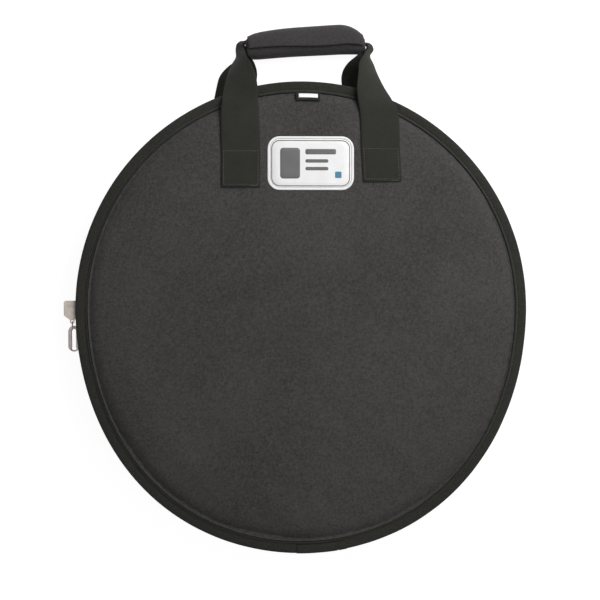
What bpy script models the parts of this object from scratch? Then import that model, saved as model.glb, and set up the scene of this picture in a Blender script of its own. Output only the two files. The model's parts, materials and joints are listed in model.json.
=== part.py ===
# A round padded cymbal bag, closed and lying on its back, in metres with +Z out of its front panel
# The origin is the centre of the outline's upper arc, on the back panel's flat outer face
import math

import bmesh
import bpy
from mathutils import Matrix, Vector

# Outline and thickness of the bag
BAG_RADIUS = 0.296
LOWER_REACH = 0.322
BAG_DEPTH = 0.062
OUTLINE_SEGMENTS = 64
FOLD_HEIGHT = 0.022
FOLD_GAP = 0.0003

# Sheet thicknesses, and the gap that sewn layers keep
SKIN = 0.0009
LINING = 0.0008
FOAM_TOP_DEPTH = 0.0107
GAP = 0.0003

# The bound seam that stands out round each panel
BINDING_WIDTH = 0.013
BINDING_TAPE = 0.0007
SEAM_DEPTH = 0.0085
SEAM_EDGE = 0.0015

# The panel's rolled edge
ROLL_WIDTH = 0.0204
ROLL_STEPS = 5
FOAM_EDGE = 0.0045

# The side wall bulges out between the two seams
WALL_BULGE = 0.0073
WALL_RISE = 0.0046
WALL_CURVE_SHARES = ((0.0, 0.0), (0.62, 0.42), (1.0, 1.0))

# The zip: two tapes with a coil each, and the strips of fabric that they are sewn to
ZIP_END_HEIGHT = -0.023
ZIP_SLIT = 0.0016
ZIP_OPENING = 0.013
COIL_HEIGHT = 0.0042
COIL_THICKNESS = 0.0031
TAPE_HEIGHT = 0.0117
TAPE_THICKNESS = 0.0007
STOP_LENGTH = 0.0025
STOP_DROP = 0.0009
STOP_THICKNESS = 0.0012
TAB_LENGTH = 0.016
TAB_HEIGHT = 0.025
TAB_THICKNESS = 0.0012
TAB_OVERLAP = 0.0005

# The slider rides in the slit between the coils
SLIDER_LENGTH = 0.025
SLIDER_WIDTH = 0.015
SLIDER_PLATE = 0.0018
SLIDER_POST = 0.001
SLIDER_LIP_WIDTH = 0.002
SLIDER_LIP = 0.0022
SLIDER_CLEARANCE = 0.0008
SLIDER_INNER_CLEARANCE = 0.001
SLIDER_REST_DROP = 0.004
CAP_LENGTH = 0.022
CAP_WIDTH = 0.009
CAP_HEIGHT = 0.011
CAP_ROUND = 0.002
LUG_LENGTH = 0.0058
LUG_THICKNESS = 0.0022
LUG_WIDTH = 0.0062
LUG_HOLE = 0.0017
LUG_SIDES = 12

# The link and the loop puller that hang from the slider
LINK_WIRE = 0.0016
LINK_WIDTH = 0.0092
LINK_LENGTH = 0.0125
LINK_SIDES = 8
PULLER_WIDTH = 0.015
PULLER_LENGTH = 0.034
PULLER_LEG = 0.0042
PULLER_THICKNESS = 0.002
PULLER_CORNER = 0.005
PULLER_TWIST_DEGREES = 25
PULLER_PLAY = 0.0004
CORNER_STEPS = 5

# The handle's webbing
WEBBING_WIDTH = 0.0508
WEBBING = 0.0018
LEFT_BASE_INSET = 0.1383
LEFT_BASE_BEYOND = 0.0087
LEFT_TOP_INSET = 0.09
RIGHT_BASE_INSET = 0.131
RIGHT_BASE_BEYOND = 0.0192
RIGHT_TOP_INSET = 0.0865
RIGHT_TOP_BEYOND = 0.017
REAR_SHIFT = -0.007
POCKET_CLEARANCE = 0.0004
POCKET_DEPTH = 0.0023
POCKET_RUN_OUT = 0.004
CUT_OVERRUN = 0.001
LEG_START_INSET = 0.04
LEFT_LEG_OUT = 0.0117
RIGHT_LEG_OUT = 0.0139
LEFT_OUT_SHARES = (0.778, 0.786, 0.863, 0.855, 0.880, 1.0)
RIGHT_OUT_SHARES = (1.0, 0.942, 0.655, 0.540, 0.597, 0.755)
LEFT_RISE_SHARES = (0.0, 0.1277, 0.3457, 0.5213, 0.6702, 0.7872)
RIGHT_RISE_SHARES = (0.0, 0.1277, 0.3457, 0.5426, 0.7234, 0.8777)
FRONT_DROP_SHARES = (0.0, 0.016, 0.103, 0.229, 0.395, 0.5806)
REAR_LIFT_SHARES = (0.0, 0.0, 0.034, 0.097, 0.203, 0.229)
LEG_WIDTH_SHARES = (1.0, 1.0, 1.0, 0.98, 0.80, 0.58)
LEG_TWIST_DEGREES = (0, 0, 0, 8, 34, 66)
LEG_STACK_SHARE = 2.7
STRAP_STEPS = 3
CORE_BEND = 0.0065
CORE_BEND_STEPS = 4
CORE_WEBBING_WIDTH = 0.018

# The padded grip, which lies on the same surface as the bag
GRIP_SHIFT = 0.006
GRIP_STAND = 0.054
GRIP_LENGTH = 0.157
GRIP_HEIGHT = 0.037
GRIP_DEPTH = 0.033
GRIP_TILT_DEGREES = 3.5
GRIP_SHELL = 0.0012
GRIP_FLOOR_GAP = 0.0003
GRIP_CORE_HEIGHT = 0.0082
GRIP_CORE_DEPTH = 0.0216
GRIP_SEGMENTS = 16
GRIP_POWER = 0.72
GRIP_CORE_POWER = 0.45
GRIP_SLIT_DEGREES = (38, 50)
GRIP_STATION_SHARES = (0.0, 0.05, 0.14, 0.30, 0.72, 0.86, 0.95, 1.0)
GRIP_HEIGHT_SHARES = (0.72, 0.84, 0.93, 0.97, 1.0, 0.97, 0.86, 0.74)
GRIP_DEPTH_SHARES = (0.86, 0.93, 0.97, 1.0, 1.0, 1.0, 0.93, 0.86)
FLAP_START_DEGREES = 8
FLAP_END_DEGREES = 92
FLAP_THICKNESS = 0.0011
FLAP_HINGE_GAP = 0.0004
FLAP_END_SHARES = (0.06, 0.94)
HOOK_DEGREES = (58, 82)
HOOK_THICKNESS = 0.0009
HOOK_END_SHARES = (0.1, 0.9)

# The badge and the loop label on the front panel
BADGE_SHIFT = 0.01
BADGE_INSET = 0.1072
BADGE_CLEARANCE = 0.00945
BADGE_HEIGHT = 0.070
BADGE_THICKNESS = 0.0008
BADGE_RIM = 0.004
BADGE_RIM_RISE = 0.0005
BADGE_CORNER = 0.016
LABEL_CENTRE_X = 0.007
LABEL_WIDTH = 0.032
LABEL_LENGTH = 0.0085
LABEL_THICKNESS = 0.0012
LABEL_INSET = 0.0146

# The loose dividers that lie between the cymbals
DIVIDER_CLEARANCE = 0.024
DIVIDER_THICKNESS = 0.0016

# Faces that meet at more than this angle keep a sharp edge
SHARP_DEGREES = 40

# Places that follow from the sizes above
SKIN_SEAM = SEAM_DEPTH + BINDING_TAPE + GAP
WALL_SEAM = SKIN_SEAM + SKIN + GAP
INNER_LEG = WALL_SEAM + SKIN + GAP
SEAM_INNER = INNER_LEG + BINDING_TAPE
WALL_INSET = BINDING_WIDTH + GAP
LINING_DEPTH = FOAM_TOP_DEPTH + GAP
LINING_TOP = LINING_DEPTH + LINING
ROLL_END = BINDING_WIDTH + GAP + GAP
FLAT_INSET = ROLL_END + ROLL_WIDTH
MIDDLE = BAG_DEPTH / 2
GRIP_CENTRE = (GRIP_SHIFT, BAG_RADIUS + GRIP_STAND)
LEG_SPAN = LEG_START_INSET + GRIP_STAND
POCKET_TOP = BAG_RADIUS + POCKET_RUN_OUT
BADGE_CENTRE = (BADGE_SHIFT, BAG_RADIUS - BADGE_INSET)
LEGS_APART = GRIP_LENGTH + LEFT_BASE_BEYOND + RIGHT_TOP_BEYOND - WEBBING_WIDTH
BADGE_WIDTH = LEGS_APART - 2 * BADGE_CLEARANCE
CREST_INSET = WALL_INSET - WALL_BULGE
TAPE_INSET = CREST_INSET + SKIN + GAP
COIL_INSET = TAPE_INSET - GAP - COIL_THICKNESS
STACK_SHIFT = WEBBING + GAP + GAP
ZIP_STEP = math.tau / OUTLINE_SEGMENTS
SKIN_COLOUR = (0.050, 0.047, 0.050, 1)
TRIM_COLOUR = (0.030, 0.030, 0.026, 1)
WEB_COLOUR = (0.028, 0.028, 0.024, 1)
LINING_COLOUR = (0.02, 0.02, 0.022, 1)
FOAM_COLOUR = (0.35, 0.35, 0.36, 1)
METAL_COLOUR = (0.52, 0.48, 0.44, 1)
BADGE_COLOUR = (0.55, 0.55, 0.56, 1)


def clear_scene():
    """Removes every object, so that the bag stands alone."""
    for item in list(bpy.data.objects):
        bpy.data.objects.remove(item)


def material(name, colour, roughness, metallic=0.0):
    """A plain finish for one sub-part."""
    finish = bpy.data.materials.new(name)
    finish.use_nodes = True
    shader = finish.node_tree.nodes["Principled BSDF"]
    shader.inputs["Base Color"].default_value = colour
    shader.inputs["Roughness"].default_value = roughness
    shader.inputs["Metallic"].default_value = metallic
    return finish


def place(name, bm, colour, roughness=0.85, metallic=0.0):
    """Makes an object from a mesh, with its faces pointing out."""
    bmesh.ops.recalc_face_normals(bm, faces=bm.faces)
    mesh = bpy.data.meshes.new(name)
    bm.to_mesh(mesh)
    bm.free()
    piece = bpy.data.objects.new(name, mesh)
    bpy.context.scene.collection.objects.link(piece)
    mesh.materials.append(material(name + "_finish", colour, roughness, metallic))
    return piece


def loft(rings, closed=False):
    """Joins rings of points into one closed skin, with a cap at each open end."""
    bm = bmesh.new()
    rows = [[bm.verts.new(point) for point in ring] for ring in rings]
    count = len(rows[0])
    pairs = list(zip(rows, rows[1:]))
    if closed:
        pairs.append((rows[-1], rows[0]))
    for near, far in pairs:
        for i in range(count):
            j = (i + 1) % count
            bm.faces.new((near[i], far[i], far[j], near[j]))
    if not closed:
        bm.faces.new(rows[0])
        bm.faces.new(rows[-1])
    return bm


def rim_corner(index, inset):
    """A corner of the outline: a circle above the centre, an ellipse below it."""
    angle = (index % OUTLINE_SEGMENTS) * ZIP_STEP
    reach = BAG_RADIUS if angle <= math.pi else LOWER_REACH
    return Vector(((BAG_RADIUS - inset) * math.cos(angle), (reach - inset) * math.sin(angle), 0))


def rim_at(angle, inset):
    """A point on the faceted outline, inset from the bag's edge."""
    index = math.floor(angle / ZIP_STEP)
    share = angle / ZIP_STEP - index
    return rim_corner(index, inset).lerp(rim_corner(index + 1, inset), share)


def side_angle(height, right=False):
    """The outline's angle where its left or right side passes a height."""
    reach = BAG_RADIUS if height >= 0 else LOWER_REACH
    lift = math.asin(height / reach)
    return lift if right else math.pi - lift


def rim_stops(start, end):
    """The two ends of a stretch of the outline and the corners between them."""
    inner = range(math.floor(start / ZIP_STEP) + 1, math.ceil(end / ZIP_STEP))
    return [start] + [index * ZIP_STEP for index in inner] + [end]


def band(profile, start=None, end=None):
    """Carries a closed profile of insets and heights round the outline."""
    closed = start is None
    stops = [i * ZIP_STEP for i in range(OUTLINE_SEGMENTS)] if closed else rim_stops(start, end)
    rings = []
    for angle in stops:
        rings.append([rim_at(angle, inset) + Vector((0, 0, height)) for inset, height in profile])
    return loft(rings, closed)


def disc(profile):
    """Stacks outlines of the given insets and heights, and closes the first and the last."""
    rings = []
    for inset, height in profile:
        corners = [rim_corner(i, inset) + Vector((0, 0, height)) for i in range(OUTLINE_SEGMENTS)]
        rings.append(corners)
    return loft(rings)


def cut_at_fold(bm, upper):
    """Keeps what lies above or below the cover's fold line, and closes the cut."""
    height = FOLD_HEIGHT + (FOLD_GAP if upper else -FOLD_GAP)
    whole = bm.verts[:] + bm.edges[:] + bm.faces[:]
    bmesh.ops.bisect_plane(
        bm,
        geom=whole,
        plane_co=(0, height, 0),
        plane_no=(0, 1, 0),
        clear_inner=upper,
        clear_outer=not upper,
    )
    rim = [edge for edge in bm.edges if edge.is_boundary]
    bmesh.ops.holes_fill(bm, edges=rim, sides=0)
    return bm


def on_front(profile):
    """The same profile, seen from the front panel's outer face."""
    return [(inset, BAG_DEPTH - depth) for inset, depth in profile]


def offset_line(points, distance):
    """Moves an open line inwards by a distance, keeping its corners sharp."""
    moved = []
    last = len(points) - 1
    for i, point in enumerate(points):
        here = Vector(point)
        before = Vector(points[max(i - 1, 0)])
        after = Vector(points[min(i + 1, last)])
        first = (here - before) if i > 0 else (after - here)
        second = (after - here) if i < last else first
        n1 = Vector((first.y, -first.x)).normalized()
        n2 = Vector((second.y, -second.x)).normalized()
        middle = (n1 + n2).normalized()
        moved.append(tuple(here + middle * (distance / middle.dot(n1))))
    return moved


def roll_line():
    """The panel's outer face from its flat middle to the seam, as a quarter ellipse."""
    points = []
    for i in range(ROLL_STEPS + 1):
        turn = math.pi / 2 * i / ROLL_STEPS
        inset = FLAT_INSET - ROLL_WIDTH * math.sin(turn)
        points.append((inset, SKIN_SEAM * (1 - math.cos(turn))))
    return points


def skin_profile():
    """The outer fabric: flat, rolled in at its edge, and turned out into the seam."""
    outer = roll_line() + [(SEAM_EDGE, SKIN_SEAM)]
    inner = offset_line(outer, SKIN)
    return outer + inner[::-1]


def foam_profile():
    """The padding, thinned towards the seam."""
    near = offset_line(roll_line(), SKIN + GAP)
    kept = [point for point in near if point[0] > ROLL_END + FOAM_EDGE / 2]
    edge = kept[-1][0]
    return kept + [(edge, FOAM_TOP_DEPTH)]


def lining_profile():
    """The lining, a flat sheet that ends inside the wall."""
    edge = WALL_INSET + SKIN + GAP
    return [(edge, LINING_DEPTH), (edge, LINING_TOP)]


def binding_profile():
    """Tape folded in half over the seam's layers."""
    fold = BINDING_TAPE
    return [
        (0, SEAM_DEPTH),
        (BINDING_WIDTH, SEAM_DEPTH),
        (BINDING_WIDTH, SEAM_DEPTH + fold),
        (fold, SEAM_DEPTH + fold),
        (fold, INNER_LEG),
        (BINDING_WIDTH, INNER_LEG),
        (BINDING_WIDTH, SEAM_INNER),
        (0, SEAM_INNER),
    ]


def wall_line(extra=0.0):
    """The wall's outer face from the seam out to its crest, moved in by extra."""
    start = SEAM_INNER + GAP
    points = []
    for bulge_share, rise_share in WALL_CURVE_SHARES:
        inset = WALL_INSET - WALL_BULGE * bulge_share
        points.append((inset + extra, start + extra / 2 + WALL_RISE * rise_share))
    return points


def strip_profile():
    """A strip with its lower edge turned out into the seam and a free edge at the zip."""
    top = MIDDLE - ZIP_OPENING / 2
    outer = [(SEAM_EDGE, WALL_SEAM + SKIN), (WALL_INSET, WALL_SEAM + SKIN)]
    outer += wall_line() + [(CREST_INSET, top)]
    inner = [(SEAM_EDGE, WALL_SEAM), (WALL_INSET + SKIN, WALL_SEAM)]
    inner += wall_line(SKIN) + [(CREST_INSET + SKIN, top)]
    return outer + inner[::-1]


def full_wall_profile():
    """The wall below the zip, turned out into both seams."""
    outer = [(SEAM_EDGE, WALL_SEAM + SKIN), (WALL_INSET, WALL_SEAM + SKIN)] + wall_line()
    inner = [(SEAM_EDGE, WALL_SEAM), (WALL_INSET + SKIN, WALL_SEAM)] + wall_line(SKIN)
    return outer + on_front(outer)[::-1] + on_front(inner) + inner[::-1]


def wall_lining_profile():
    """The wall's lining, standing between the two panels' linings."""
    near = SKIN + GAP
    far = near + LINING
    base = LINING_TOP + GAP
    outer = [(WALL_INSET + near, base)] + wall_line(near)
    inner = [(WALL_INSET + far, base)] + wall_line(far)
    return outer + on_front(outer)[::-1] + on_front(inner) + inner[::-1]


def box_profile(inset, thickness, low, high):
    """A rectangle of the given inset and thickness between two heights."""
    far = inset + thickness
    return [(inset, low), (far, low), (far, high), (inset, high)]


def tape_profile():
    """The rear zip tape, from under the strip up to the slit."""
    top = MIDDLE - ZIP_SLIT / 2
    return box_profile(TAPE_INSET, TAPE_THICKNESS, top - TAPE_HEIGHT, top)


def coil_profile():
    """The rear half of the zip's coil, on the tape's outer face."""
    top = MIDDLE - ZIP_SLIT / 2
    return box_profile(COIL_INSET, COIL_THICKNESS, top - COIL_HEIGHT, top)


def make_panels():
    """Skins, foams and linings of the back and the two halves of the front."""
    back_skin = place("back_skin", disc(solid_back_profile()), SKIN_COLOUR)
    back_foam = place("back_foam", disc(foam_profile()), FOAM_COLOUR)
    place("back_lining", disc(lining_profile()), LINING_COLOUR)
    for half, upper in (("upper", True), ("lower", False)):
        skin = cut_at_fold(disc(on_front(skin_profile())), upper)
        place("front_skin_" + half, skin, SKIN_COLOUR)
        foam = cut_at_fold(disc(on_front(foam_profile())), upper)
        place("front_foam_" + half, foam, FOAM_COLOUR)
        lining = cut_at_fold(disc(on_front(lining_profile())), upper)
        place("front_lining_" + half, lining, LINING_COLOUR)
    return back_skin, back_foam


def make_bindings():
    """The folded tape round the back seam and the two halves of the front seam."""
    place("rear_binding", band(binding_profile()), TRIM_COLOUR)
    for half, upper in (("upper", True), ("lower", False)):
        tape = cut_at_fold(band(on_front(binding_profile())), upper)
        place("front_binding_" + half, tape, TRIM_COLOUR)


def zip_reach():
    """The outline's angles at the zip's right and left ends."""
    return side_angle(ZIP_END_HEIGHT, right=True), side_angle(ZIP_END_HEIGHT)


def front_split(name, profile, colour, end_name):
    """A front band of the zip, cut at the fold into the cover's part and two fixed ends."""
    right, left = zip_reach()
    cover = cut_at_fold(band(on_front(profile), right, left), True)
    place(name, cover, colour)
    quarter = math.pi / 2
    left_end = cut_at_fold(band(on_front(profile), quarter, left), False)
    place(end_name + "_left", left_end, colour)
    right_end = cut_at_fold(band(on_front(profile), right, quarter), False)
    place(end_name + "_right", right_end, colour)


def make_wall_and_zip():
    """The side wall, its strips, and the zip's tapes and coils."""
    right, left = zip_reach()
    join = FOLD_GAP / BAG_RADIUS
    lower = band(full_wall_profile(), left + join, math.tau + right - join)
    place("gusset_skin", lower, SKIN_COLOUR)
    lining = band(wall_lining_profile(), left + join, math.tau + right - join)
    place("gusset_lining", lining, LINING_COLOUR)
    place("rear_zip_strip", band(strip_profile(), right, left), SKIN_COLOUR)
    place("zip_tape_rear", band(tape_profile(), right, left), TRIM_COLOUR)
    place("zip_coil_rear", band(coil_profile(), right, left), TRIM_COLOUR)
    front_split("front_zip_strip", strip_profile(), SKIN_COLOUR, "front_strip_end")
    front_split("zip_tape_front", tape_profile(), TRIM_COLOUR, "zip_tape_front_end")
    front_split("zip_coil_front", coil_profile(), TRIM_COLOUR, "zip_coil_front_end")


def make_zip_ends():
    """A metal stop across each end of the coils, and a fabric tab over the end of the chain."""
    low = MIDDLE - ZIP_SLIT / 2 - COIL_HEIGHT + GAP
    stop = box_profile(COIL_INSET - GAP - STOP_THICKNESS, STOP_THICKNESS, low, BAG_DEPTH - low)
    tab_low = MIDDLE - TAB_HEIGHT / 2
    tab_inset = CREST_INSET - GAP - TAB_THICKNESS
    tab = box_profile(tab_inset, TAB_THICKNESS, tab_low, BAG_DEPTH - tab_low)
    upper = ZIP_END_HEIGHT + STOP_DROP
    lower = ZIP_END_HEIGHT - TAB_OVERLAP
    for side, right, name in (("left", False, "closed"), ("right", True, "open")):
        ends = sorted((side_angle(upper, right), side_angle(upper + STOP_LENGTH, right)))
        place("zip_stop_" + name, band(stop, *ends), METAL_COLOUR, 0.35, 1.0)
        ends = sorted((side_angle(lower, right), side_angle(lower - TAB_LENGTH, right)))
        place("zip_end_tab_" + side, band(tab, *ends), WEB_COLOUR)


def prism(outline, direction):
    """A flat outline pushed along a direction."""
    push = Vector(direction)
    near = [Vector(point) for point in outline]
    return loft([near, [point + push for point in near]])


def slider_frame():
    """Turns the slider's own frame, out, along and across, to its rest place on the outline."""
    turn = math.pi + math.asin(SLIDER_REST_DROP / BAG_RADIUS)
    return Matrix.Rotation(turn, 4, "Z")


def slider_section():
    """The slider seen along the zip: outer plate, lips, post and inner plate."""
    half = SLIDER_WIDTH / 2
    post = SLIDER_POST / 2
    coil_face = BAG_RADIUS - COIL_INSET
    under = coil_face + SLIDER_CLEARANCE
    over = under + SLIDER_PLATE
    lip = half - SLIDER_LIP_WIDTH
    lip_end = under - SLIDER_LIP
    inner_top = BAG_RADIUS - TAPE_INSET - TAPE_THICKNESS - SLIDER_INNER_CLEARANCE
    inner_low = inner_top - SLIDER_PLATE
    right = [(over, half), (lip_end, half), (lip_end, lip), (under, lip), (under, post)]
    right += [(inner_top, post), (inner_top, lip), (inner_low, lip)]
    left = [(r, -z) for r, z in right]
    return right + left[::-1]


def make_slider():
    """The slider's body, and the cap with the lug that carries the puller."""
    frame = slider_frame()
    start = -SLIDER_LENGTH / 2
    section = [(r, start, MIDDLE + z) for r, z in slider_section()]
    body = prism(section, (0, SLIDER_LENGTH, 0))
    body.transform(frame)
    place("slider_body", body, METAL_COLOUR, 0.38, 1.0)

    base = BAG_RADIUS - COIL_INSET + SLIDER_CLEARANCE + SLIDER_PLATE + GAP
    top = base + CAP_HEIGHT
    half = CAP_LENGTH / 2
    side = [(base, -half), (base, half), (top - CAP_ROUND, half), (top, half - CAP_ROUND)]
    side += [(top, CAP_ROUND - half), (top - CAP_ROUND, -half)]
    across = CAP_WIDTH / 2
    outline = [(r, y, MIDDLE - across) for r, y in side]
    cap = place("slider_cap", prism(outline, (0, 0, CAP_WIDTH)), METAL_COLOUR, 0.38, 1.0)

    lug_centre = Vector((link_radius(), lug_height(), MIDDLE))
    lug = make_lug(lug_centre, half)
    for solid, operation in lug:
        joint = cap.modifiers.new(solid.name, "BOOLEAN")
        joint.object = solid
        joint.operation = operation
        joint.solver = "EXACT"
    cap.data.transform(frame)
    for solid, operation in lug:
        solid.data.transform(frame)
        solid.hide_render = True
        solid.display_type = "WIRE"


def link_radius():
    """How far the lug's hole lies from the zip's axis."""
    base = BAG_RADIUS - COIL_INSET + SLIDER_CLEARANCE + SLIDER_PLATE + GAP
    return base + CAP_HEIGHT / 2


def lug_height():
    """The lug's hole along the zip, in the slider's own frame, where along points down at rest."""
    return CAP_LENGTH / 2 + LUG_LENGTH - LUG_WIDTH / 2


def make_lug(centre, half):
    """The lug's tongue, with a round end, and the cutter for its hole."""
    thick = LUG_THICKNESS / 2
    width = LUG_WIDTH / 2
    outline = [Vector((centre.x - width, half - CUT_OVERRUN, MIDDLE - thick))]
    for i in range(LUG_SIDES + 1):
        turn = math.pi * i / LUG_SIDES
        x = centre.x - width * math.cos(turn)
        y = centre.y + width * math.sin(turn)
        outline.append(Vector((x, y, MIDDLE - thick)))
    outline.append(Vector((centre.x + width, half - CUT_OVERRUN, MIDDLE - thick)))
    tongue = place("lug_tongue_guide", prism(outline, (0, 0, LUG_THICKNESS)), METAL_COLOUR)
    hole = []
    for i in range(LUG_SIDES):
        turn = math.tau * i / LUG_SIDES
        x = centre.x + LUG_HOLE * math.cos(turn)
        y = centre.y + LUG_HOLE * math.sin(turn)
        hole.append(Vector((x, y, MIDDLE - thick - CUT_OVERRUN)))
    deep = LUG_THICKNESS + 2 * CUT_OVERRUN
    cutter = place("lug_hole_cutter", prism(hole, (0, 0, deep)), METAL_COLOUR)
    return (tongue, "UNION"), (cutter, "DIFFERENCE")


def rounded_path(width, length, corner):
    """The centre line of a rounded rectangle that starts at its top bar's middle."""
    points = []
    x = width / 2 - corner
    y = length / 2 - corner
    for cx, cy, first in ((x, y, 0), (-x, y, 1), (-x, -y, 2), (x, -y, 3)):
        for i in range(CORNER_STEPS):
            turn = math.pi / 2 * (first + i / (CORNER_STEPS - 1))
            points.append(Vector((cx + corner * math.cos(turn), cy + corner * math.sin(turn), 0)))
    return points


def closed_bar(path, section):
    """Carries a section of sideways and upward shares round a closed flat path."""
    count = len(path)
    rings = []
    for i, point in enumerate(path):
        ahead = path[(i + 1) % count]
        behind = path[(i - 1) % count]
        along = (ahead - behind).normalized()
        side = Vector((along.y, -along.x, 0))
        rings.append([point + side * a + Vector((0, 0, b)) for a, b in section])
    return loft(rings, closed=True)


def link_centre_height():
    """The link's middle along the zip, in the slider's own frame."""
    wire = LINK_WIRE / 2
    return lug_height() + LINK_LENGTH / 2 - wire


def make_puller():
    """The link through the lug, and the flat loop that hangs from the link."""
    frame = slider_frame()
    radius = LINK_WIRE / 2
    section = []
    for i in range(LINK_SIDES):
        turn = math.tau * i / LINK_SIDES
        section.append((radius * math.cos(turn), radius * math.sin(turn)))
    width = LINK_WIDTH - LINK_WIRE
    length = LINK_LENGTH - LINK_WIRE
    link = closed_bar(rounded_path(width, length, width / 3), section)
    link.transform(Matrix.Rotation(math.pi / 2, 4, "Y"))
    link.transform(Matrix.Translation((link_radius(), link_centre_height(), MIDDLE)))
    link.transform(frame)
    place("puller_link", link, METAL_COLOUR, 0.4, 1.0)

    leg = PULLER_LEG / 2
    thick = PULLER_THICKNESS / 2
    flat = [(-leg, -thick), (leg, -thick), (leg, thick), (-leg, thick)]
    path = rounded_path(PULLER_WIDTH - PULLER_LEG, PULLER_LENGTH - PULLER_LEG, PULLER_CORNER)
    loop = closed_bar(path, flat)
    loop.transform(Matrix.Rotation(math.radians(PULLER_TWIST_DEGREES), 4, "Y"))
    loop.transform(Matrix.Translation((link_radius(), puller_centre_height(), MIDDLE)))
    loop.transform(frame)
    place("puller_loop", loop, METAL_COLOUR, 0.42, 1.0)


def puller_pivot_height():
    """The link's lower wire along the zip, in the slider's own frame."""
    return link_centre_height() + (LINK_LENGTH - LINK_WIRE) / 2


def puller_centre_height():
    """The loop's middle: its top bar hangs on the link's lower wire."""
    top_bar = puller_pivot_height() - LINK_WIRE / 2 - PULLER_PLAY - PULLER_LEG / 2
    return top_bar + (PULLER_LENGTH - PULLER_LEG) / 2


def curve_between(before, start, end, after, share):
    """A point on a smooth curve from start to end, which leaves and arrives along its neighbours."""
    length = (end - start).length
    leaving = (end - before).normalized() * length
    arriving = (after - start).normalized() * length
    square = share * share
    cube = square * share
    point = start * (2 * cube - 3 * square + 1) + leaving * (cube - 2 * square + share)
    return point + end * (3 * square - 2 * cube) + arriving * (cube - square)


def smoothed(stations):
    """Adds stations between the given ones, on a smooth curve with an even twist."""
    full = []
    last = len(stations) - 1
    for i in range(last):
        before = stations[max(i - 1, 0)][0]
        start, width, across = stations[i]
        end, next_width, next_across = stations[i + 1]
        after = stations[min(i + 2, last)][0]
        for step in range(STRAP_STEPS):
            share = step / STRAP_STEPS
            point = curve_between(before, start, end, after, share)
            turned = across.lerp(next_across, share)
            full.append((point, width + (next_width - width) * share, turned))
    return full + [stations[-1]]


def strap_piece(stations):
    """Flat webbing through stations of centre, width and the direction of its width."""
    rings = []
    last = len(stations) - 1
    for i, (centre, width, across) in enumerate(stations):
        ahead = stations[min(i + 1, last)][0]
        behind = stations[max(i - 1, 0)][0]
        along = (ahead - behind).normalized()
        side = across.normalized()
        normal = side.cross(along).normalized()
        half = width / 2
        thick = WEBBING / 2
        rings.append(
            [
                centre - side * half - normal * thick,
                centre + side * half - normal * thick,
                centre + side * half + normal * thick,
                centre - side * half + normal * thick,
            ]
        )
    return loft(rings)


def anchor_ends(right, rear):
    """The base and top of one sewn strap end, as points on the panel."""
    shift = REAR_SHIFT if rear else 0.0
    z = strap_height(rear)
    if right:
        base = Vector((grip_end(right) + RIGHT_BASE_BEYOND, BAG_RADIUS - RIGHT_BASE_INSET, z))
        top = Vector((grip_end(right) + RIGHT_TOP_BEYOND, BAG_RADIUS - RIGHT_TOP_INSET, z))
    else:
        base = Vector((grip_end(right) - LEFT_BASE_BEYOND, BAG_RADIUS - LEFT_BASE_INSET, z))
        top = Vector((grip_end(right) - LEFT_BASE_BEYOND, BAG_RADIUS - LEFT_TOP_INSET, z))
    return base + Vector((shift, 0, 0)), top + Vector((shift, 0, 0))


def grip_end(right):
    """Where one end of the grip lies along X."""
    return GRIP_SHIFT + (GRIP_LENGTH / 2 if right else -GRIP_LENGTH / 2)


def leg_place(index, right):
    """The middle of the webbing at one station of a leg, seen from the front."""
    start = BAG_RADIUS - LEG_START_INSET
    if right:
        x = grip_end(right) + RIGHT_LEG_OUT * RIGHT_OUT_SHARES[index]
        return x, start + LEG_SPAN * RIGHT_RISE_SHARES[index]
    x = grip_end(right) - LEFT_LEG_OUT * LEFT_OUT_SHARES[index]
    return x, start + LEG_SPAN * LEFT_RISE_SHARES[index]


def strap_height(rear):
    """The middle of the webbing where it lies on the front or in the back panel."""
    if rear:
        return POCKET_DEPTH - GAP - WEBBING / 2
    return BAG_DEPTH + GAP + WEBBING / 2


def make_anchors():
    """The four sewn ends of the webbing."""
    for side, right in (("left", False), ("right", True)):
        for face, rear in (("front", False), ("rear", True)):
            base, top = anchor_ends(right, rear)
            across = Vector((1, 0, 0))
            stations = [(base, WEBBING_WIDTH, across), (top, WEBBING_WIDTH, across)]
            place(face + "_strap_anchor_" + side, strap_piece(stations), WEB_COLOUR)


def grip_point(share, up, out):
    """A point in the grip: a share of its length, up across it and out to the front."""
    tilt = math.radians(GRIP_TILT_DEGREES)
    along = (share - 1 / 2) * GRIP_LENGTH
    x = GRIP_CENTRE[0] + along * math.cos(tilt) - up * math.sin(tilt)
    y = GRIP_CENTRE[1] + along * math.sin(tilt) + up * math.cos(tilt)
    return Vector((x, y, GRIP_FLOOR_GAP + GRIP_DEPTH / 2 + out))


def leg_stations(right, rear):
    """One leg of a strap, from its sewn end to the side of the grip."""
    top = anchor_ends(right, rear)[1]
    start = Vector((top.x, top.y + GAP, top.z))
    sign = -1 if right else 1
    stations = [(start, WEBBING_WIDTH, Vector((1, 0, 0)))]
    for i, (share, twist) in enumerate(zip(LEG_WIDTH_SHARES, LEG_TWIST_DEGREES)):
        x, y = leg_place(i, right)
        turn = math.radians(twist)
        near = FRONT_DROP_SHARES[i] / FRONT_DROP_SHARES[-1]
        if rear:
            x += REAR_SHIFT * (1 - near)
            z = strap_height(rear) + BAG_DEPTH * REAR_LIFT_SHARES[i]
        else:
            z = strap_height(rear) - BAG_DEPTH * FRONT_DROP_SHARES[i]
        across = Vector((math.cos(turn), 0, sign * math.sin(turn)))
        if rear:
            x += sign * STACK_SHIFT * near * LEG_STACK_SHARE
        stations.append((Vector((x, y, z)), WEBBING_WIDTH * share, across))
    return stations


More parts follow.
